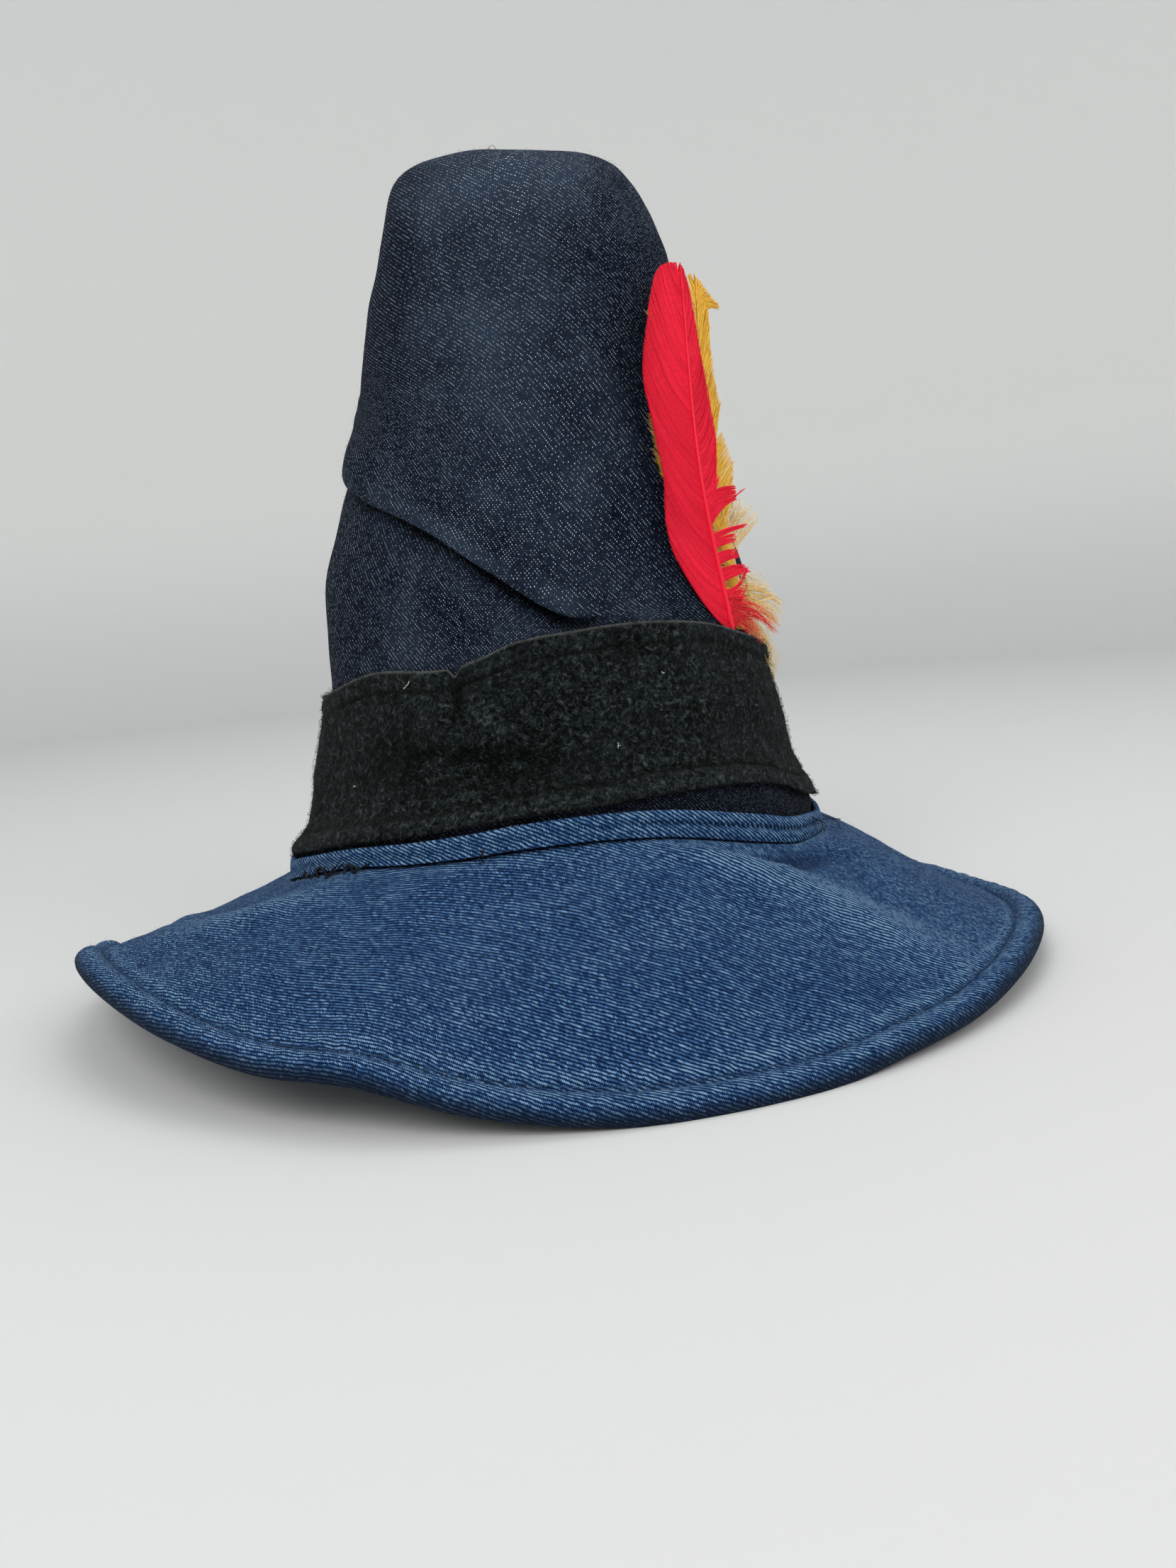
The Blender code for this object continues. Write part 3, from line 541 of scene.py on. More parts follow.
class Shader:
    """A Principled material whose inputs are wired up from short expressions."""

    def __init__(self, name, roughness, sheen=0, sheen_roughness=0.4, specular=0.3):
        self.material = bpy.data.materials.new(name)
        self.material.use_nodes = True
        self.nodes = self.material.node_tree.nodes
        self.surface = self.nodes["Principled BSDF"].inputs
        self.surface["Roughness"].default_value = roughness
        self.surface["Sheen Weight"].default_value = sheen
        self.surface["Sheen Roughness"].default_value = sheen_roughness
        self.surface["Specular IOR Level"].default_value = specular

    def feed(self, socket, value):
        if isinstance(value, bpy.types.NodeSocket):
            self.material.node_tree.links.new(value, socket)
        elif value is not None:
            socket.default_value = value

    def put(self, kind, values=(), output=0, **settings):
        """A new node's output, with values for its first inputs."""
        node = self.nodes.new("ShaderNode" + kind)
        for name, setting in settings.items():
            setattr(node, name, setting)
        for socket, value in enumerate(values):
            self.feed(node.inputs[socket], value)
        return node.outputs[output]

    def math(self, operation, *values):
        return self.put("Math", values, operation=operation)

    def times(self, *values):
        return self.math("MULTIPLY", *values)

    def add(self, total, *values):
        for value in values:
            total = self.math("ADD", total, value)
        return total

    def mark(self, name):
        return self.put("Attribute", output=2, attribute_name=name, attribute_type="GEOMETRY")

    def ramp(self, value, low, high, to_low=0, to_high=1):
        return self.put("MapRange", (value, low, high, to_low, to_high), interpolation_type="SMOOTHSTEP")

    def place(self):
        return self.put("TexCoord", output=3)

    def noise(self, place, scale, detail=2, roughness=0.5, output=0):
        return self.put("TexNoise", (place, None, scale, detail, roughness), output)

    def chance(self, *values):
        return self.put("TexWhiteNoise", (self.put("CombineXYZ", values),), noise_dimensions="3D")

    def mix(self, share, low, high):
        node = self.nodes.new("ShaderNodeMix")
        node.data_type = "RGBA"
        for socket, value in ((0, share), (6, low), (7, high)):
            self.feed(node.inputs[socket], (*value, 1) if isinstance(value, tuple) else value)
        return node.outputs[2]

    def bump(self, height, distance, strength=1):
        node = self.nodes.new("ShaderNodeBump")
        node.inputs["Strength"].default_value = strength
        node.inputs["Distance"].default_value = distance
        self.feed(node.inputs["Height"], height)
        self.feed(self.surface["Normal"], node.outputs[0])

    def colour(self, value):
        self.feed(self.surface["Base Color"], value)

    def twill(self, warp, weft, turn, wander):
        """Threads of a twill over the cloth's coordinates: how high the warp floats stand, where a weft
        thread shows between them, and a chance number for each float and for each few floats in line."""
        cloth = self.put("UVMap", uv_map="cloth")
        bend = self.times(self.math("SUBTRACT", self.noise(cloth, 260), 0.5), wander)
        ways = (cloth, None, (0, 0, math.radians(turn)), (warp, weft, 1))
        axes = self.nodes.new("ShaderNodeSeparateXYZ")
        self.feed(axes.inputs[0], self.put("Mapping", ways, vector_type="TEXTURE"))
        p, q = self.add(axes.outputs[0], bend), self.add(axes.outputs[1], bend)
        thread = self.math("FLOOR", p)
        climb = self.add(q, thread)
        phase = self.math("FLOORED_MODULO", climb, 4)
        side = self.math("ABSOLUTE", self.math("SUBTRACT", self.math("FRACT", p), 0.5))
        arch = self.math("SINE", self.times(self.math("SUBTRACT", phase, 1), math.pi / 3))
        warp_height = self.times(self.ramp(side, 0.5, 0.1), self.math("MAXIMUM", arch, 0))
        reach = self.math("ABSOLUTE", self.math("SUBTRACT", phase, 0.5))
        away = self.math("SQRT", self.add(self.math("POWER", reach, 2), self.math("POWER", side, 2)))
        wale = self.math("FLOOR", self.math("DIVIDE", climb, 4))
        luck = self.chance(thread, wale, 0)
        group = self.chance(self.math("FLOOR", self.math("DIVIDE", thread, 4)), wale, 7)
        return cloth, warp_height, self.ramp(away, 0.48, 0.2), luck, group


def dark_denim():
    """Near-black indigo twill with pale weft specks and faint rubbed patches, with painted light and painted
    shade from its marks.
    """
    shader = Shader("dark_denim", 0.9, sheen=0.01, sheen_roughness=0.5, specular=0.04)
    cloth, height, dot, luck, group = shader.twill(0.00039, 0.00049, 8, 0.7)
    patches = shader.noise(cloth, 46, 4, 0.6)
    cloudy = shader.noise(cloth, 420, 3, 0.65)
    # paleness: rubbed patches plus the wear mark, which also carries painted highlights and painted shade
    paleness = shader.add(shader.ramp(patches, 0.35, 0.75, 0, 0.7), shader.mark("wear_and_painted_light"))
    warp = shader.mix(shader.ramp(height, 0.2, 0.8), (0.0006, 0.0012, 0.0036), (0.0062, 0.0122, 0.03))
    warp = shader.mix(shader.times(group, 0.4), warp, (0.012, 0.021, 0.043))
    warp = shader.mix(shader.times(paleness, 0.4), warp, (0.046, 0.068, 0.106))
    bright = shader.times(shader.ramp(luck, 0.15, 1), shader.ramp(cloudy, 0.36, 0.62, 0.45, 1))
    shade = shader.mix(shader.times(dot, bright), warp, (0.62, 0.72, 0.85))
    # painted shade: near black where the shade mark is set
    shader.colour(shader.mix(shader.mark("painted_shade"), shade, (0.001, 0.0012, 0.002)))
    shader.bump(shader.add(height, dot), 0.0003, 0.8)
    return shader.material


def blue_denim(name, turn):
    """Washed mid-blue twill: dark between the wales, paler where its marks give wear and painted light, near
    black where they give painted shade.
    """
    shader = Shader(name, 0.85, sheen=0.02, sheen_roughness=0.5, specular=0.08)
    cloth, height, _, luck, group = shader.twill(0.00038, 0.00044, turn, 1.7)
    patches = shader.ramp(shader.noise(cloth, 52, 5, 0.62), 0.32, 0.7, -0.14, 0.12)
    grain = shader.ramp(shader.noise(cloth, 640, 2, 0.6), 0.34, 0.66, -0.52, 0.28)
    chance = shader.add(shader.times(luck, 0.88), shader.times(group, 0.5))
    worn_and_lit = shader.add(patches, shader.mark("wear_and_painted_light"), chance, grain)
    crest = shader.mix(shader.ramp(worn_and_lit, -0.2, 0.6), (0.011, 0.054, 0.165), (0.066, 0.204, 0.49))
    crest = shader.mix(shader.ramp(worn_and_lit, 0.5, 1.4), crest, (0.34, 0.62, 0.96))
    warp = shader.mix(shader.ramp(height, 0.12, 0.62), (0.0016, 0.009, 0.032), crest)
    # painted shade: near black where the shade mark is set
    shader.colour(shader.mix(shader.mark("painted_shade"), warp, (0.003, 0.007, 0.017)))
    shader.bump(height, 0.0005, 0.9)
    return shader.material


def black_suede():
    """Charcoal suede: tangled nap in clumps, paler on the cut edges, with painted sheen and painted shade
    from its marks.
    """
    shader = Shader("black_suede", 0.95, sheen=0.03, sheen_roughness=0.6, specular=0.04)
    place = shader.place()
    swirl = shader.noise(place, 420, output=1)
    swirl = shader.put("VectorMath", (swirl, (0.0035,) * 3), operation="MULTIPLY")
    bent = shader.put("VectorMath", (swirl, place))
    nap, clumps = shader.noise(bent, 900, 3, 0.65), shader.noise(bent, 430, 3, 0.6)
    patches = shader.noise(place, 34, 3, 0.5)
    depth = shader.add(shader.times(nap, 0.55), shader.times(clumps, 0.45))
    # the lift mark paints sheen and shade onto the nap, and pales a strip along each edge
    tone = shader.add(depth, shader.mark("lift"))
    shade = shader.mix(shader.ramp(tone, 0.42, 0.58), (0.0001, 0.0002, 0.0002), (0.012, 0.017, 0.017))
    shade = shader.mix(shader.ramp(tone, 0.53, 0.7), shade, (0.064, 0.077, 0.078))
    shade = shader.mix(shader.ramp(patches, 0.45, 0.8, 0, 0.25), shade, (0.012, 0.016, 0.016))
    # painted shade in the grooves
    shade = shader.mix(shader.mark("painted_shade"), shade, (0.0004, 0.0005, 0.0005))
    shader.colour(shader.mix(shader.mark("edge"), shade, (0.12, 0.125, 0.12)))
    shader.bump(depth, 0.0016)
    return shader.material


def plain_fibre(name, low, high, roughness=0.7, sheen=0.1, specular=0.12):
    """Thread, fluff or feather barbs, each strand with its own tone between two colours."""
    shader = Shader(name, roughness, sheen=sheen, specular=specular)
    streaks = shader.ramp(shader.noise(shader.place(), 900), 0.3, 0.7, -0.15, 0.15)
    shader.colour(shader.mix(shader.add(shader.mark("tone"), streaks), low, high))
    return shader.material


def crown_surface(azimuth):
    """The crown's outer face as a fine grid and on the flat cloth, and the reach and height of its rings."""
    rings = crown_rings(azimuth)
    heights = np.array([section.height for section in CROWN_SECTIONS])
    upright = np.array([section.tilt == 0 for section in CROWN_SECTIONS])
    near_fold = (np.abs(heights - FOLD_ROW) < 0.008) & upright
    weights = np.where(near_fold[:-1] | near_fold[1:], FOLD_FINENESS, 1)
    points, reach = refine(rings, CROWN_ROWS, weights)
    cloth = cone_cut(azimuth, CROWN_APEX - reach, CROWN_TURN)
    a, b = np.moveaxis(cloth[:, :-1], 2, 0)
    soft = waves(a, b, 0.052, SEED) * 0.0007 + waves(a, b, 0.021, SEED + 1) * 0.00022
    points = points + face_normals(points) * (soft * step(0, 0.03, reach)[:, None])[:, :, None]
    height = np.interp(reach, mean_reach(rings), np.where(upright, heights, 1))
    return points, cloth, reach[:, None], height[:, None]


def crown_marks(azimuth, cloth, reach, height):
    """Where the crown is rubbed, where painted light and painted shade lie on it, and where painted shade
    fills the overhang's tuck and the strip under the band.
    """
    a, b = np.moveaxis(cloth[:, :-1], 2, 0)
    top, high = between(0.225, 0.255, 0.29, 0.31, reach), between(0.13, 0.17, 0.2, 0.28, reach)
    # painted shade on both sides of the crown
    shaded_sides = step(22, 50, np.abs(azimuth + 6))
    wear_and_painted_light = np.clip(waves(a, b, 0.045, SEED + 2) * 0.3, 0, 1)
    # painted light on the top fold and on the upper front, painted shade on the sides
    wear_and_painted_light = wear_and_painted_light + 0.65 * top + 0.4 * bell(azimuth, -8, 26) * high - 0.6 * shaded_sides
    strength = np.clip(around(FOLD_LINE, "strength", azimuth), 0, 1)
    above = height - FOLD_ROW
    # painted highlight along the fold's upper lip
    wear_and_painted_light = wear_and_painted_light + 0.55 * strength * between(-0.0004, 0.001, 0.003, 0.008, above)
    # painted highlights and painted shade along the creases
    wear_and_painted_light = wear_and_painted_light + relief_of(CROWN_CREASE_LIGHT, azimuth, height, CROWN_RADIUS)
    # painted shade in the tuck under the overhang and on the crown under the band
    tuck = step(-0.0085, -0.0035, above) * (above < -0.0004)
    under = 1 - step(0.016, 0.03, height)
    return {"wear_and_painted_light": wear_and_painted_light, "painted_shade": np.maximum(tuck * strength * 0.85, 0.55 * under)}


def build_crown(material):
    azimuth = azimuths(CROWN_SEGMENTS, CROWN_CROWDING)
    points, cloth, reach, height = crown_surface(azimuth)
    marks = crown_marks(azimuth, cloth, reach, height)
    crown = add_rings("crown_cloth", points, cloth, material, marks)
    wall = crown.modifiers.new("Wall", "SOLIDIFY")
    wall.thickness = DENIM
    wall.offset = -1
    wall.use_even_offset = False
    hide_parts("crown")
    return points


def band_surface(azimuth, shares, layer):
    """The band's inner or outer face, as rows from its lower to its upper edge."""
    low = around(RINGS, "band_low", azimuth)
    high = around(RINGS, "band_high", azimuth) - NICK_DEPTH * bell(azimuth, NICK_AZIMUTH, NICK_HALF_WIDTH)
    rows = []
    for share in shares:
        height = low + (high - low) * share
        face = crown_face_at(azimuth, height)
        room = TUCK_ROOM * bell(azimuth, 58, 17) * step(0.25, 0.6, share)
        pucker = relief_of(BAND_PUCKER, azimuth, height, 0.085)
        spread = BAND_EASE + room + SUEDE * layer + pucker * 0.4
        level = (SEAM_HEIGHT + height)[:, None] * (0, 0, 1)
        rows.append(face * (1, 1, 0) + level + outward(face) * spread[:, None])
    return np.stack(rows)


def build_band(material):
    azimuth = azimuths(BAND_SEGMENTS, FRONT_CROWDING)
    shares = np.linspace(0, 1, BAND_ROWS)
    outer = band_surface(azimuth, shares, 1)
    inner = band_surface(azimuth, shares[::-4], 0)
    a, b = np.radians(azimuth) * BAND_RADIUS, (shares * BAND_WIDTH)[:, None]
    edge_way = np.minimum(b, BAND_WIDTH - b)
    drift = waves(a, a * 0, 0.09, SEED + 5) * 0.0006
    groove = bell(b, BAND_GROOVE + drift, 0.0007) + bell(b, BAND_WIDTH - BAND_GROOVE + drift, 0.0007)
    strip = 1 - step(0.006, 0.008, edge_way)
    relief = waves(a, b, 0.034, SEED + 6) * 0.0009 + waves(a, b, 0.01, SEED + 7) * 0.0003
    relief = relief - 0.0008 * groove + 0.0003 * strip
    relief = relief + relief_of(BAND_PUCKERS, azimuth, shares[:, None], BAND_RADIUS, BAND_WIDTH)
    # painted sheen and painted shadow over the pucker
    shade = relief_of(BAND_PAINTED_LIGHT, azimuth, shares[:, None], BAND_RADIUS, BAND_WIDTH)
    outer = outer + outward(outer) * (relief * step(0, 0.0015, edge_way))[:, :, None]
    points = np.concatenate((outer, inner))
    edge, painted_shade, lift = np.zeros((3, *points.shape[:2]))
    edge[BAND_ROWS - 1:BAND_ROWS + 1] = 0.75
    # painted shade in the grooves
    painted_shade[:BAND_ROWS] = np.clip(0.9 * groove, 0, 1)
    # lift: the pucker's painted sheen and shadow, and a slightly paler strip along each edge
    lift[:BAND_ROWS] = shade + 0.014 * strip
    marks = {"edge": edge, "painted_shade": painted_shade, "lift": lift}
    band = add_rings("band_suede", points, None, material, marks, shell=True)
    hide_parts("band")
    return outer


def collar_face(azimuth, right):
    """The collar's outer face. At the right its lower edge closes on the brim and a second crease runs."""
    turn = np.radians(azimuth)
    seam, width = around(RINGS, "seam", azimuth), around(RINGS, "collar", azimuth)
    rows = []
    for share in COLLAR_SHARES:
        puff = 0.0005 * math.sin(math.pi * share) - 0.0016 * bell(share, 0.5, 0.09) * right
        flare = (0.0011 - 0.001 * right) * bell(share, 0, 0.14)
        tuck = flare - 0.0004 * bell(share, 1, 0.05)
        uneven = waves(turn * 0.1, share * width, 0.014, SEED + 8) * 0.00022
        reach = puff + tuck - 0.0006 * share + uneven
        height = SEAM_HEIGHT + seam + width * share - GAP * right * (1 - share)
        rows.append(oval(turn, SEAM_HALF_WIDTH + reach, SEAM_HALF_DEPTH + reach, height))
    return np.stack(rows)


def build_collar(material):
    """The upright strip between band and brim, with its turned lower edge."""
    azimuth = azimuths(COLLAR_SEGMENTS, FRONT_CROWDING)
    right = step(-6, 30, azimuth)
    outer = collar_face(azimuth, right)
    inner = outer[::-6] - outward(outer[::-6]) * DENIM
    points = np.concatenate((outer, inner))
    across = np.radians(closed(azimuth)) * COLLAR_RADIUS
    along = np.concatenate((COLLAR_SHARES, np.linspace(1, 0, len(inner)), [0]))[:, None] * COLLAR_WIDTH
    cloth = np.stack(np.broadcast_arrays(across, along), axis=2)
    wear_and_painted_light, painted_shade = np.zeros((2, *points.shape[:2]))
    paleness = 0.35 * bell(COLLAR_SHARES, 0.86, 0.12) + 0.1 + 0.25 * bell(COLLAR_SHARES, 0.3, 0.12)
    wear_and_painted_light[:len(COLLAR_SHARES)] = paleness[:, None]
    # painted shade along the seam at the collar's lower edge, left of the front
    painted_shade[0] = 0.3 * (1 - right)
    marks = {"wear_and_painted_light": wear_and_painted_light, "painted_shade": painted_shade}
    collar = add_rings("collar_cloth", points, cloth, material, marks, shell=True)
    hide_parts("brim_collar")


def brim_middle(azimuth, share):
    """The middle of the brim's cloth at a share of the way from seam to hem, and its folds' relief there."""
    seam = SEAM_HEIGHT + around(RINGS, "seam", azimuth) - GAP - DENIM / 2
    hem = around(RIM, "lift", azimuth) + HEM_HALF_THICKNESS - HEM_PRESS + 0.0004
    fall = share + around(RIM, "ease", azimuth) * 0.75 * (step(0, 1, share) - share)
    half_width, half_depth = (
        inner - DENIM + (rim - inner + DENIM) * share
        for inner, rim in ((SEAM_HALF_WIDTH, RIM_HALF_WIDTH), (SEAM_HALF_DEPTH, RIM_HALF_DEPTH))
    )
    relief = relief_of(BRIM_FOLDS, azimuth, share, 0.145, 0.085) * between(0, 0.12, 0.85, 1, share)
    return oval(np.radians(azimuth), half_width, half_depth, seam + (hem - seam) * fall + relief), relief


def brim_frame(azimuth, share):
    """The brim's middle with its direction outward, its normal and its relief."""
    middle, relief = brim_middle(azimuth, share)
    run = unit(brim_middle(azimuth, min(share + 0.01, 1))[0] - brim_middle(azimuth, max(share - 0.01, 0))[0])
    normal = np.cross(run, unit(run[:, [1, 0, 2]] * (-1, 1, 0)))
    return middle, run, normal * np.sign(normal[:, 2:3]), relief


def brim_upper(azimuth, arc):
    """The brim's upper face up to the hem, and how rubbed it is."""
    rows, wear_and_painted_light = [], []
    for share in np.linspace(0, HEM_START, BRIM_UPPER_ROWS):
        middle, _, normal, relief = brim_frame(azimuth, share)
        across, along = arc * (0.74 + 0.5 * share), share * BRIM_SLOPE
        soft = waves(across, along, 0.034, SEED + 10) * 0.00055
        soft = soft + waves(across, along, 0.013, SEED + 11) * 0.0002
        soft = soft * step(0, 0.08, share) * (1 - 0.8 * step(0.88, HEM_START, share))
        pleats = waves(across * 1.25, across * 0, 0.0065, SEED + 12) * 0.0004 * step(0.8, HEM_START, share)
        groove = 0.0006 * bell(share, HEM_START, 0.012)
        rows.append(middle + normal * (DENIM / 2 + soft + pleats - groove)[:, None])
        near_hem, near_seam = 0.4 * bell(share, 0.895, 0.022), 0.3 * bell(share, 0.045, 0.03)
        wear_and_painted_light.append(np.clip(relief / 0.006, -0.5, 0.6) + near_hem + near_seam)
    return rows, wear_and_painted_light


def brim_lower(azimuth):
    """The brim's lower face, from the hem in to the seam."""
    rows = []
    for share in np.linspace(0.9, 0, BRIM_LOWER_ROWS):
        middle, _, normal, _ = brim_frame(azimuth, share)
        rows.append(middle - normal * (DENIM / 2))
    return rows


def hem_roll(azimuth, arc):
    """The rolled hem, from the upper face round to the lower one."""
    hem, run, normal, _ = brim_frame(azimuth, 1)
    uneven = 1 + 0.04 * waves(arc * 1.3, arc * 0, 0.03, SEED + 13)
    knob = 1 + 0.55 * bell(azimuth, HEM_KNOB, 2.4)
    rows = []
    for turn in np.radians(HEM_TURNS):
        up = max(math.sin(turn), 0)
        pinch = 1 + 0.09 * waves(arc * 1.3, arc * 0, 0.0062, SEED + 12) * up
        width = HEM_HALF_WIDTH * math.cos(turn) * knob ** 0.5
        rise = HEM_HALF_THICKNESS * (math.sin(turn) + HEM_PLUMP * up) * uneven * pinch * knob
        rows.append(hem + run * width[:, None] + normal * rise[:, None])
    return rows


def brim_marks(azimuth, wear_upper):
    """How pale the brim is from wear and painted light, and where painted shade lies on it, row by row."""
    roll = slice(BRIM_UPPER_ROWS, BRIM_UPPER_ROWS + HEM_ROWS)
    wear_and_painted_light, painted_shade = np.zeros((2, roll.stop + BRIM_LOWER_ROWS, len(azimuth)))
    wear_and_painted_light[:BRIM_UPPER_ROWS] = wear_upper
    # painted highlight on the top of the roll
    wear_and_painted_light[roll] = 0.4 * bell(HEM_TURNS, 112, 30)[:, None]
    # painted shade in the groove before the hem
    painted_shade[BRIM_UPPER_ROWS - 1] = 0.12
    # painted shade in a fold valley by the seam
    valley = bell(azimuth, 46, 9) * bell(np.linspace(0, 1, BRIM_UPPER_ROWS), 0.09, 0.04)[:, None]
    painted_shade[:BRIM_UPPER_ROWS] += 0.3 * valley
    # painted shade on the roll's outer and lower side, which is also less-washed cloth, and in the groove
    # where the roll starts
    painted_shade[roll] = (0.85 * step(88, 22, HEM_TURNS) + 0.22 * bell(HEM_TURNS, 168, 10))[:, None]
    return {"wear_and_painted_light": wear_and_painted_light, "painted_shade": painted_shade}


def build_brim(material):
    azimuth = azimuths(BRIM_SEGMENTS, FRONT_CROWDING)
    arc = np.radians(azimuth) * BRIM_RADIUS
    upper, wear_and_painted_light = brim_upper(azimuth, arc)
    points = np.stack(upper + hem_roll(azimuth, arc) + brim_lower(azimuth))
    points[:, :, 2] = np.maximum(points[:, :, 2], 0)
    reach = mean_reach(points)
    cloth = cone_cut(azimuth, BRIM_APEX + np.append(reach, reach[-1] + 0.002), BRIM_TURN)
    marks = brim_marks(azimuth, wear_and_painted_light)
    brim = add_rings("brim_cloth", points, cloth, material, marks, shell=True)
    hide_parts("brim")
    return points[BRIM_UPPER_ROWS + HEM_ROWS - 1::-1]


def feather_place(feather, share, across, front=0):
    """Points of a feather: share of the shaft's length, metres to its right and metres to its front."""
    share, across, front = np.broadcast_arrays(share, across, front)
    middle = np.clip(share, 0.01, 0.99)
    wanted = (share, middle + 0.01, middle - 0.01)
    place, ahead, behind = (hermite(SHAFT_SHARES, feather.shaft, at) for at in wanted)
    along = unit(ahead - behind)
    side = unit(np.cross(along, feather.facing))
    out = np.cross(side, along)
    out = out * np.where(out[..., 1:2] < 0, 1, -1)
    beyond = (share - np.clip(share, 0, 1)) * FEATHER_LENGTH
    lift = front - feather.curl * across ** 2
    return place + along * beyond[..., None] + side * across[..., None] + out * lift[..., None]


def barb_paths(feather, root, end_share, end_width, bow, steps, stray, draw, front=0, base=0, flick=1):
    """Curved barbs from the shaft, or a line beside it, to their ends. Flick bends them out late."""
    t = np.linspace(0, 1, steps)[None, :]
    root, end_share, end_width = root[:, None], end_share[:, None], end_width[:, None]
    share = root + (end_share - root) * t + bow * 4 * (t * t - t)
    phase = draw.uniform(0, 2 * np.pi, (len(root), 1))
    size = draw.uniform(0, stray, (len(root), 1))
    across = (base + (end_width - base) * t ** flick) * 0.001
    return feather_place(feather, share, across, front + size * np.sin(phase + 4 * t) * t)


def vane_barbs(feather, outline, first, last, climb, count, draw, front=0):
    """Barbs that fill one side of a vane and end on its outline, drawn together in clumps."""
    root = np.linspace(first, last, count)
    end = root + climb * np.minimum(1, (1 - root) / (1.15 * climb))
    width = column(outline, "width", end)
    splits = np.sort(draw.uniform(first, last, CLUMPS - 1))
    clump = np.searchsorted(splits, root)
    middle = np.array([root[clump == c].mean() if (clump == c).any() else 0 for c in range(CLUMPS)])[clump]
    end = end + (middle - root) * 0.05
    width = width * (1 - draw.uniform(0, 0.025, CLUMPS)[clump])
    width = width - np.sign(width) * draw.uniform(0, 0.25, count)
    tone = 0.5 + draw.uniform(-0.22, 0.22, CLUMPS)[clump] + draw.uniform(-0.2, 0.2, count)
    return barb_paths(feather, root, end, width, 0.022, BARB_STEPS, 0.0002, draw, front), tone


def lock_barbs(feather, lock, steps, stray, draw, front=0, base=0):
    """The barbs of one lock, from its low edge to its high edge."""
    turn = np.linspace(0, 1, lock.count)
    root = lock.root_low + (lock.root_high - lock.root_low) * turn
    end = lock.low_share + (lock.high_share - lock.low_share) * turn
    end = end + draw.normal(0, lock.spread * 0.4, lock.count) * 0.001 / FEATHER_LENGTH
    width = lock.low_width + (lock.high_width - lock.low_width) * turn
    width = width - np.sign(width) * np.abs(draw.normal(0, lock.spread, lock.count))
    tone = 0.5 + draw.uniform(-0.12, 0.12) + draw.uniform(-0.2, 0.2, lock.count)
    return barb_paths(feather, root, end, width, lock.bow, steps, stray, draw, front, base, lock.flick), tone


def barbules(paths, length, draw):
    """Fine hairs that stand out to both sides along soft barbs."""
    n, k = paths.shape[:2]
    spot = draw.uniform(0.08, 0.98, (n, BARBULES)) * (k - 1)
    low = np.minimum(spot.astype(int), k - 2)
    row = np.arange(n)[:, None]
    way = paths[row, low + 1] - paths[row, low]
    foot = paths[row, low] + way * (spot - low)[..., None]
    along = unit(way)
    side = unit(np.cross(along, draw.normal(0, 1, (n, BARBULES, 3))))
    size = length * draw.uniform(0.5, 1, (n, BARBULES, 1)) * (1.1 - 0.6 * spot / (k - 1))[..., None]
    bend = foot + (along * 0.35 + side * 0.65) * size * 0.55
    return np.stack((foot, bend, foot + (along * 0.75 + side * 0.75) * size), axis=2).reshape(-1, 3, 3)


def add_strands(name, batches, facing, material, seed):
    """One piece of flat tapering strips. A batch is its paths, a width, a tone for each path and a lean."""
    draw = np.random.default_rng(seed)
    points, faces, tones, start = [], [], [], 0
    for paths, width, tone, lean in batches:
        n, k = paths.shape[:2]
        along = unit(np.gradient(paths, axis=1))
        across = unit(np.cross(along, facing))
        turn = np.radians(draw.uniform(-lean, lean, n))[:, None, None]
        side = across * np.cos(turn) + np.cross(across, along) * np.sin(turn)
        taper = 1 - 0.75 * np.linspace(0, 1, k) ** 3
        half = 0.5 * width * taper[None, :, None] * draw.uniform(0.8, 1.2, n)[:, None, None]
        points.append(np.stack((paths - side * half, paths + side * half), axis=2).reshape(-1, 3))
        order = start + np.arange(n * k * 2).reshape(n, k, 2)
        quads = (order[:, :-1, 0], order[:, :-1, 1], order[:, 1:, 1], order[:, 1:, 0])
        faces.append(np.stack(quads, axis=-1).reshape(-1, 4))
        tone = np.broadcast_to(np.reshape(tone, (n, -1)), (n, k))
        tones.append(np.repeat(tone.reshape(-1), 2))
        start += n * k * 2
    marks = {"tone": np.concatenate(tones)}
    return add_mesh(name, np.concatenate(points), np.concatenate(faces), material, marks)


def add_tube(name, path, radii, material):
    """A round tube along a path, tapering as its radii do, with closed ends."""
    along = unit(np.gradient(path, axis=0))
    side = unit(np.cross(along, (0.3, 0.9, 0.31)))
    turn = np.linspace(0, 2 * np.pi, 10, endpoint=False)[None, :, None]
    ring = side[:, None] * np.cos(turn) + np.cross(side, along)[:, None] * np.sin(turn)
    points = path[:, None] + ring * radii[:, None, None]
    points = np.concatenate((path[None, :1] + 0 * points[:1], points, path[None, -1:] + 0 * points[:1]))
    add_rings(name, points, None, material, {"tone": np.full(points.shape[:2], 0.5)})


def add_cords(name, paths, radius, material, tones):
    """One piece of thin four-sided threads, all with the same number of points."""
    paths = np.asarray(paths)
    n, k = paths.shape[:2]
    along = unit(np.gradient(paths, axis=1))
    side = unit(np.cross(along, (0.21, 0.34, 0.92)))
    up = np.cross(side, along)
    points = np.stack([paths + corner * radius for corner in (side, up, -side, -up)], axis=2)
    order = np.arange(n * k * 4).reshape(n, k, 4)
    turned = np.roll(order, -1, axis=2)
    faces = np.stack((order[:, :-1], turned[:, :-1], turned[:, 1:], order[:, 1:]), axis=-1)
    tones = np.broadcast_to(np.reshape(tones, (-1, 1, 1)), (n, k, 4))
    add_mesh(name, points, faces, material, {"tone": tones})


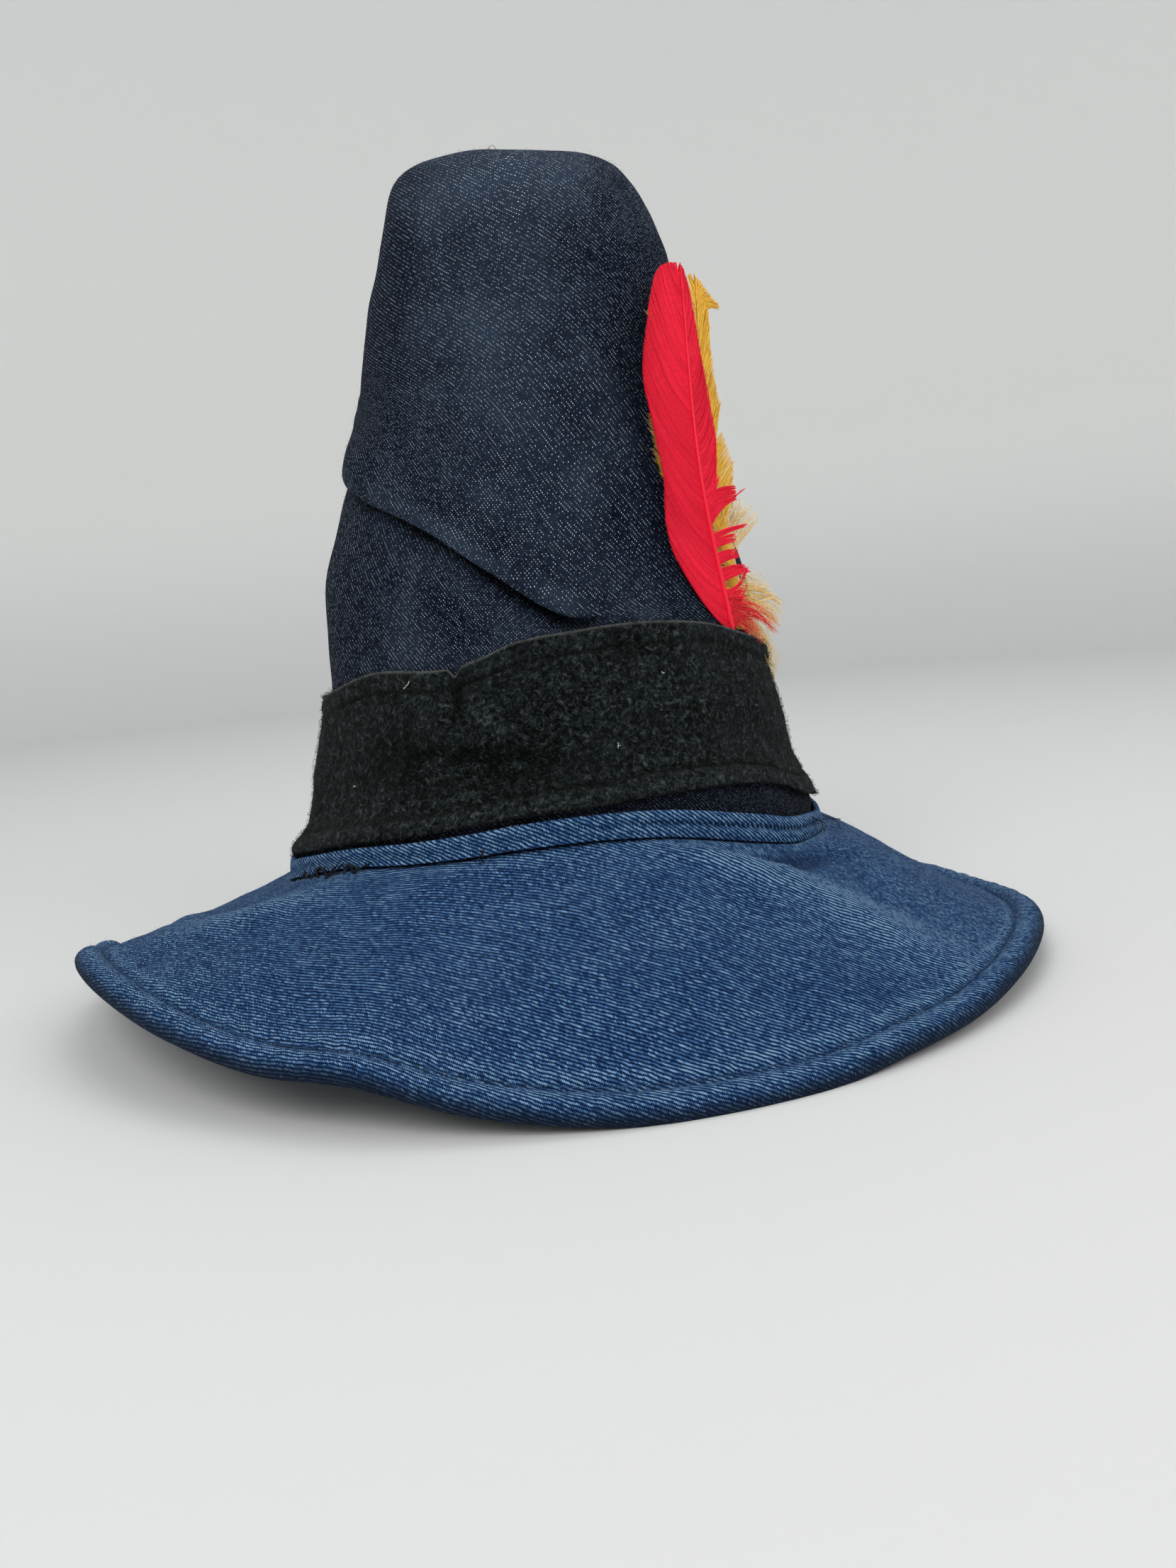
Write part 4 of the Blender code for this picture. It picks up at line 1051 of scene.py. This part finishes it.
def build_hem_stitches(material):
    """A running stitch along the groove between the brim and its rolled hem, half sunk in the cloth."""
    draw = np.random.default_rng(SEED + 40)
    middle = np.arange(HEM_STITCHES) / HEM_STITCHES * 360 - 180 + draw.uniform(-0.12, 0.12, HEM_STITCHES)
    rows = []
    for share, rise in HEM_STITCH:
        centre, _, normal, _ = brim_frame(middle + share * 360 / HEM_STITCHES, HEM_STITCH_SHARE)
        rows.append(centre + normal * (DENIM / 2 + rise))
    tones = draw.uniform(0, 1, HEM_STITCHES)
    add_cords("hem_stitches", np.stack(rows, axis=1), THREAD, material, tones)


def seam_point(azimuth, up, out):
    """Points by the seam under the collar: metres up the collar, or down over the brim, and out from it."""
    up, out = np.asarray(up), np.asarray(out)
    over = np.maximum(-up, 0)
    reach = out + over * 0.85
    height = SEAM_HEIGHT + around(RINGS, "seam", azimuth) + np.maximum(up, 0) - over * 0.5
    return oval(np.radians(azimuth), SEAM_HALF_WIDTH + reach, SEAM_HALF_DEPTH + reach, height)


def build_seam_stitches(material):
    """Rough hand stitches in black thread over the seam at the left, and the running line beside them."""
    draw = np.random.default_rng(SEED + 41)
    paths = []
    for azimuth in SEAM_STITCHES:
        turn = azimuth + draw.uniform(-2.2, 2.2) * np.array([-1, -0.6, 0, 0.6, 1])
        low, high = draw.uniform(-0.0034, -0.0022), draw.uniform(0.001, 0.0024)
        up = (low, low * 0.6, 0, high * 0.6, high)
        paths.append(seam_point(turn, up, (-0.0004, 0.0011, 0.0015, 0.0011, -0.0004)))
    for azimuth, low, high in SEAM_LOOPS:
        turn = azimuth + np.array([-1.6, -1.2, 0.2, 1.6, 1.9])
        up = (low, high * 0.7, high, high * 0.5, low)
        paths.append(seam_point(turn, up, (0, 0.0014, 0.0022, 0.0016, 0)))
    for azimuth in np.arange(-35, -14, 1.5):
        turn = azimuth + np.array([-0.55, -0.4, 0, 0.4, 0.55])
        paths.append(seam_point(turn, (0.0004,) * 5, (-0.0006, 0.0001, 0.0003, 0.0001, -0.0006)))
    add_cords("seam_stitches", paths, 0.00034, material, draw.uniform(0, 0.6, len(paths)))


def build_loose_ends(black, pale, outer):
    """Loose thread ends by the seam, and lint on the suede."""
    draw = np.random.default_rng(SEED + 42)
    threads, lint = [], []
    t = np.linspace(0, 1, 6)[:, None]
    for azimuth, up, reach, fall in LOOSE_ENDS:
        wander = draw.normal(0, 0.0006, (6, 3)) * t
        start = seam_point(azimuth, up, 0.0004)
        away = outward(start) * reach + np.array((0, 0, -fall))
        threads.append(start + away * t + outward(start) * 0.002 * np.sin(np.pi * t) + wander)
    add_cords("loose_threads", threads, THREAD, black, draw.uniform(0, 0.6, len(threads)))
    for azimuth, share, length in LINT:
        col = np.searchsorted(azimuths(BAND_SEGMENTS, FRONT_CROWDING), azimuth)
        spot = outer[int(share * (BAND_ROWS - 1)), col]
        ahead = unit(np.cross((0, 0, 1), outward(spot)) + draw.normal(0, 0.5, 3))
        lint.append(spot + outward(spot) * 0.0006 + ahead * t * length + draw.normal(0, 0.0004, (6, 3)))
    add_cords("lint", lint, 0.0001, pale, draw.uniform(0.4, 1, len(lint)))


def add_hairs(name, surface, count, edge_share, length, width, material, seed):
    """Short curly hairs all over a grid of points, some of them along its first and last rows."""
    draw = np.random.default_rng(seed)
    last = surface.shape[0] - 1
    edge = draw.uniform(0, 1, count) < edge_share
    row = np.where(edge, draw.integers(0, 2, count) * last, draw.integers(0, last + 1, count))
    col = draw.integers(0, surface.shape[1], count)
    foot = surface[row, col] + draw.normal(0, 0.0004, (count, 3))
    up = face_normals(surface)[row, col]
    heading = draw.normal(0, 1, (count, 3))
    heading = unit(heading - up * np.sum(heading * up, axis=1, keepdims=True))
    side = np.cross(up, heading)
    length = draw.uniform(length * 0.35, length, (count, 1))
    curl = draw.uniform(-1, 1, (count, 1))
    ways = [(heading * a + side * b * curl + up * c) * length for a, b, c in HAIR_CURVE]
    paths = np.stack([foot - up * 0.0002] + [foot + way for way in ways], axis=1)
    paths[:, :, 2] = np.maximum(paths[:, :, 2], 0.0002)
    batch = (paths, width, draw.uniform(0, 1, count) ** 2, 90)
    add_strands(name, [batch], (0.3, -0.9, 0.3), material, seed + 1)


def lock_batches(feather, locks, stray, width, draw, base=0, paler=0):
    """The stiff barbs of several locks, as batches for add_strands."""
    batches = []
    for lock in locks:
        paths, tone = lock_barbs(feather, lock, BARB_STEPS, stray, draw, base=base)
        batches.append((paths, width, tone + paler, 30))
    return batches


def down_batches(feather, locks, steps, front, length, tones, draw):
    """Soft barbs with their barbules. Tones are the middle, the least and the most of the barbules' tone."""
    batches = []
    for lock in locks:
        paths, tone = lock_barbs(feather, lock, steps, 0.003, draw, front)
        hairs = barbules(paths, length, draw)
        hair_tone = tones[0] + draw.uniform(tones[1], tones[2], len(hairs))
        batches += [(paths, 0.00022, tone, 80), (hairs, 0.00009, hair_tone, 90)]
    return batches


def build_red_feather(vane_stuff, shaft_stuff, down_stuff):
    draw = np.random.default_rng(SEED + 20)
    left, left_tone = vane_barbs(RED, RED_LEFT, 0.155, 0.998, 0.17, 720, draw)
    left_tone = left_tone[:, None] + np.linspace(-0.1, 0.12, BARB_STEPS)
    folded = bell(np.linspace(0.155, 0.985, 720), 0.8, 0.035)[:, None]
    left_tone = left_tone + 0.5 * folded * step(0.75, 1, np.linspace(0, 1, BARB_STEPS))
    right, right_tone = vane_barbs(RED, RED_RIGHT, 0.42, 0.998, 0.09, 480, draw)
    batches = [(left, 0.00036, left_tone, 24), (right, 0.00036, right_tone, 24)]
    for outline, climb, first in ((RED_LEFT, 0.17, 0.155), (RED_RIGHT, 0.09, 0.42)):
        under, tone = vane_barbs(RED, outline, first, 0.995, climb * 1.06, 420, draw, -0.0004)
        batches.append((under, 0.0006, tone, 10))
    batches += lock_batches(RED, RED_LOCKS, 0.0005, 0.00036, draw)
    vane = add_strands("red_vane", batches, RED.facing, vane_stuff, SEED + 21)
    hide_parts("red_feather")
    batches = down_batches(RED, RED_DOWN, 8, 0.0004, 0.0016, (0.5, -0.3, 0.3), draw)
    add_strands("red_down", batches, RED.facing, down_stuff, SEED + 22)
    share = np.linspace(0.02, 1, 60)
    path = feather_place(RED, share, 0 * share, 0.0003)
    add_tube("red_shaft", path, 0.00125 - 0.00105 * share ** 0.7, shaft_stuff)


def build_yellow_feather(vane_stuff, shaft_stuff, down_stuff):
    draw = np.random.default_rng(SEED + 30)
    left, left_tone = vane_barbs(YELLOW, YELLOW_LEFT, 0.2, 0.96, 0.1, 520, draw)
    batches = [(left, 0.00038, left_tone, 24)]
    batches += lock_batches(YELLOW, YELLOW_LOCKS, 0.0006, 0.00044, draw, base=YELLOW_BASE)
    batches += lock_batches(YELLOW, YELLOW_EDGE, 0.0004, 0.0004, draw, paler=0.2)
    vane = add_strands("yellow_vane", batches, YELLOW.facing, vane_stuff, SEED + 31)
    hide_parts("yellow_feather")
    batches = down_batches(YELLOW, YELLOW_DOWN + YELLOW_WISPS, 10, 0, 0.0015, (0.6, -0.3, 0.4), draw)
    add_strands("yellow_down", batches, YELLOW.facing, down_stuff, SEED + 32)
    share = np.linspace(0.02, 0.96, 50)
    path = feather_place(YELLOW, share, -0.008 * step(0.25, 0.7, share), -0.0002)
    add_tube("yellow_shaft", path, 0.0008 - 0.0006 * share, shaft_stuff)


def build_stage():
    """A plain pale floor that turns up into a backdrop all round."""
    bend = np.linspace(0.1, math.pi / 2, 12)
    radius = np.concatenate(([0, 0.9, 1.8], 1.8 + 0.5 * np.sin(bend), [2.3, 2.3]))[:, None]
    height = np.concatenate(([0, 0, 0], 0.5 - 0.5 * np.cos(bend), [1.4, 2.6]))[:, None]
    turn = np.radians(azimuths(96))
    points = oval(turn, radius, radius, height)
    points[0] += oval(turn, 0.001, 0.001, 0)
    shader = Shader("pale_floor", 0.8)
    axes = shader.nodes.new("ShaderNodeSeparateXYZ")
    shader.feed(axes.inputs[0], shader.place())
    rise = shader.ramp(axes.outputs[2], 0, 0.5)
    shader.colour(shader.mix(rise, (0.645, 0.645, 0.635), (0.84, 0.84, 0.82)))
    floor = add_rings("floor", points, None, shader.material, {})


def add_light(name, place, target, size, power):
    """A round lamp that faces the target."""
    light = bpy.data.lights.new(name, "AREA")
    light.shape = "DISK"
    light.size = size
    light.energy = power
    lamp = bpy.data.objects.new(name, light)
    lamp.location = place
    lamp.rotation_euler = (Vector(target) - Vector(place)).to_track_quat("-Z", "Y").to_euler()
    bpy.context.scene.collection.objects.link(lamp)


def build_lights():
    world = bpy.data.worlds.new("studio")
    world.use_nodes = True
    colour, strength = world.node_tree.nodes["Background"].inputs[:2]
    colour.default_value = (0.93, 0.96, 1, 1)
    strength.default_value = 0.8
    bpy.context.scene.world = world
    add_light("key", (-0.5, -1.2, 1.3), (0, 0, 0.12), 1.1, 13)
    add_light("fill", (1, -0.9, 0.9), (0, 0, 0.15), 1, 6)
    add_light("top", (0.1, 0.3, 1.7), (0, 0, 0.1), 1, 4)


def build_camera():
    camera = bpy.data.cameras.new("camera")
    camera.sensor_width = SENSOR
    camera.lens = SENSOR * FOCAL_PIXELS / PHOTO_HEIGHT
    camera.clip_start = 0.02
    right, down = Vector(CAMERA_RIGHT), Vector(CAMERA_DOWN)
    turned = Matrix((right, -down, right.cross(-down))).transposed().to_4x4()
    holder = bpy.data.objects.new("camera", camera)
    holder.matrix_world = Matrix.Translation(CAMERA_PLACE) @ turned
    bpy.context.scene.collection.objects.link(holder)
    bpy.context.scene.camera = holder


bpy.context.scene.view_settings.view_transform = "Standard"
build_camera()
build_lights()
build_stage()
crown_face = build_crown(dark_denim())
band_face = build_band(black_suede())
build_collar(blue_denim("blue_denim_collar", 20))
brim_face = build_brim(blue_denim("blue_denim", 30))
black_thread = plain_fibre("black_thread", (0.003, 0.004, 0.006), (0.02, 0.024, 0.03), 0.8, 0, 0.2)
navy_thread = plain_fibre("navy_thread", (0.01, 0.026, 0.066), (0.04, 0.095, 0.2), 0.8, 0, 0.2)
pale_lint = plain_fibre("pale_lint", (0.45, 0.45, 0.42), (0.8, 0.8, 0.76))
brown_thread = plain_fibre("brown_thread", (0.16, 0.085, 0.045), (0.3, 0.17, 0.1))
build_hem_stitches(navy_thread)
build_seam_stitches(black_thread)
build_loose_ends(black_thread, pale_lint, band_face)
add_cords("top_loop", [TOP_LOOP], 0.00014, brown_thread, 0.5)
nap = plain_fibre("suede_nap", (0.0008, 0.001, 0.001), (0.034, 0.042, 0.042), 0.9, 0, 0.05)
dark_fuzz = plain_fibre("dark_fuzz", (0.008, 0.012, 0.02), (0.065, 0.08, 0.105), 0.9, 0, 0.05)
blue_fuzz = plain_fibre("blue_fuzz", (0.028, 0.09, 0.23), (0.14, 0.29, 0.54), 0.9, 0, 0.05)
add_hairs("band_nap", band_face, NAP_HAIRS, 0.12, 0.0017, 0.00011, nap, SEED + 43)
add_hairs("crown_fuzz", crown_face, FUZZ_HAIRS, 0, 0.0013, 0.00006, dark_fuzz, SEED + 45)
add_hairs("brim_fuzz", brim_face, FUZZ_HAIRS, 0.1, 0.0011, 0.00006, blue_fuzz, SEED + 47)
build_red_feather(
    plain_fibre("red_barbs", (0.62, 0.004, 0.022), (0.94, 0.014, 0.05), 0.55, 0.03),
    plain_fibre("red_shaft", (0.8, 0.01, 0.034), (0.9, 0.03, 0.06), 0.45, 0, 0.15),
    plain_fibre("red_down", (0.74, 0.01, 0.03), (0.95, 0.06, 0.085), 0.8, 0.1),
)
build_yellow_feather(
    plain_fibre("yellow_barbs", (0.7, 0.3, 0.02), (0.97, 0.64, 0.09), 0.6, 0.03),
    plain_fibre("yellow_shaft", (0.7, 0.42, 0.15), (0.85, 0.6, 0.3), 0.45),
    plain_fibre("yellow_down", (0.84, 0.48, 0.08), (0.97, 0.82, 0.42), 0.8, 0.1),
)
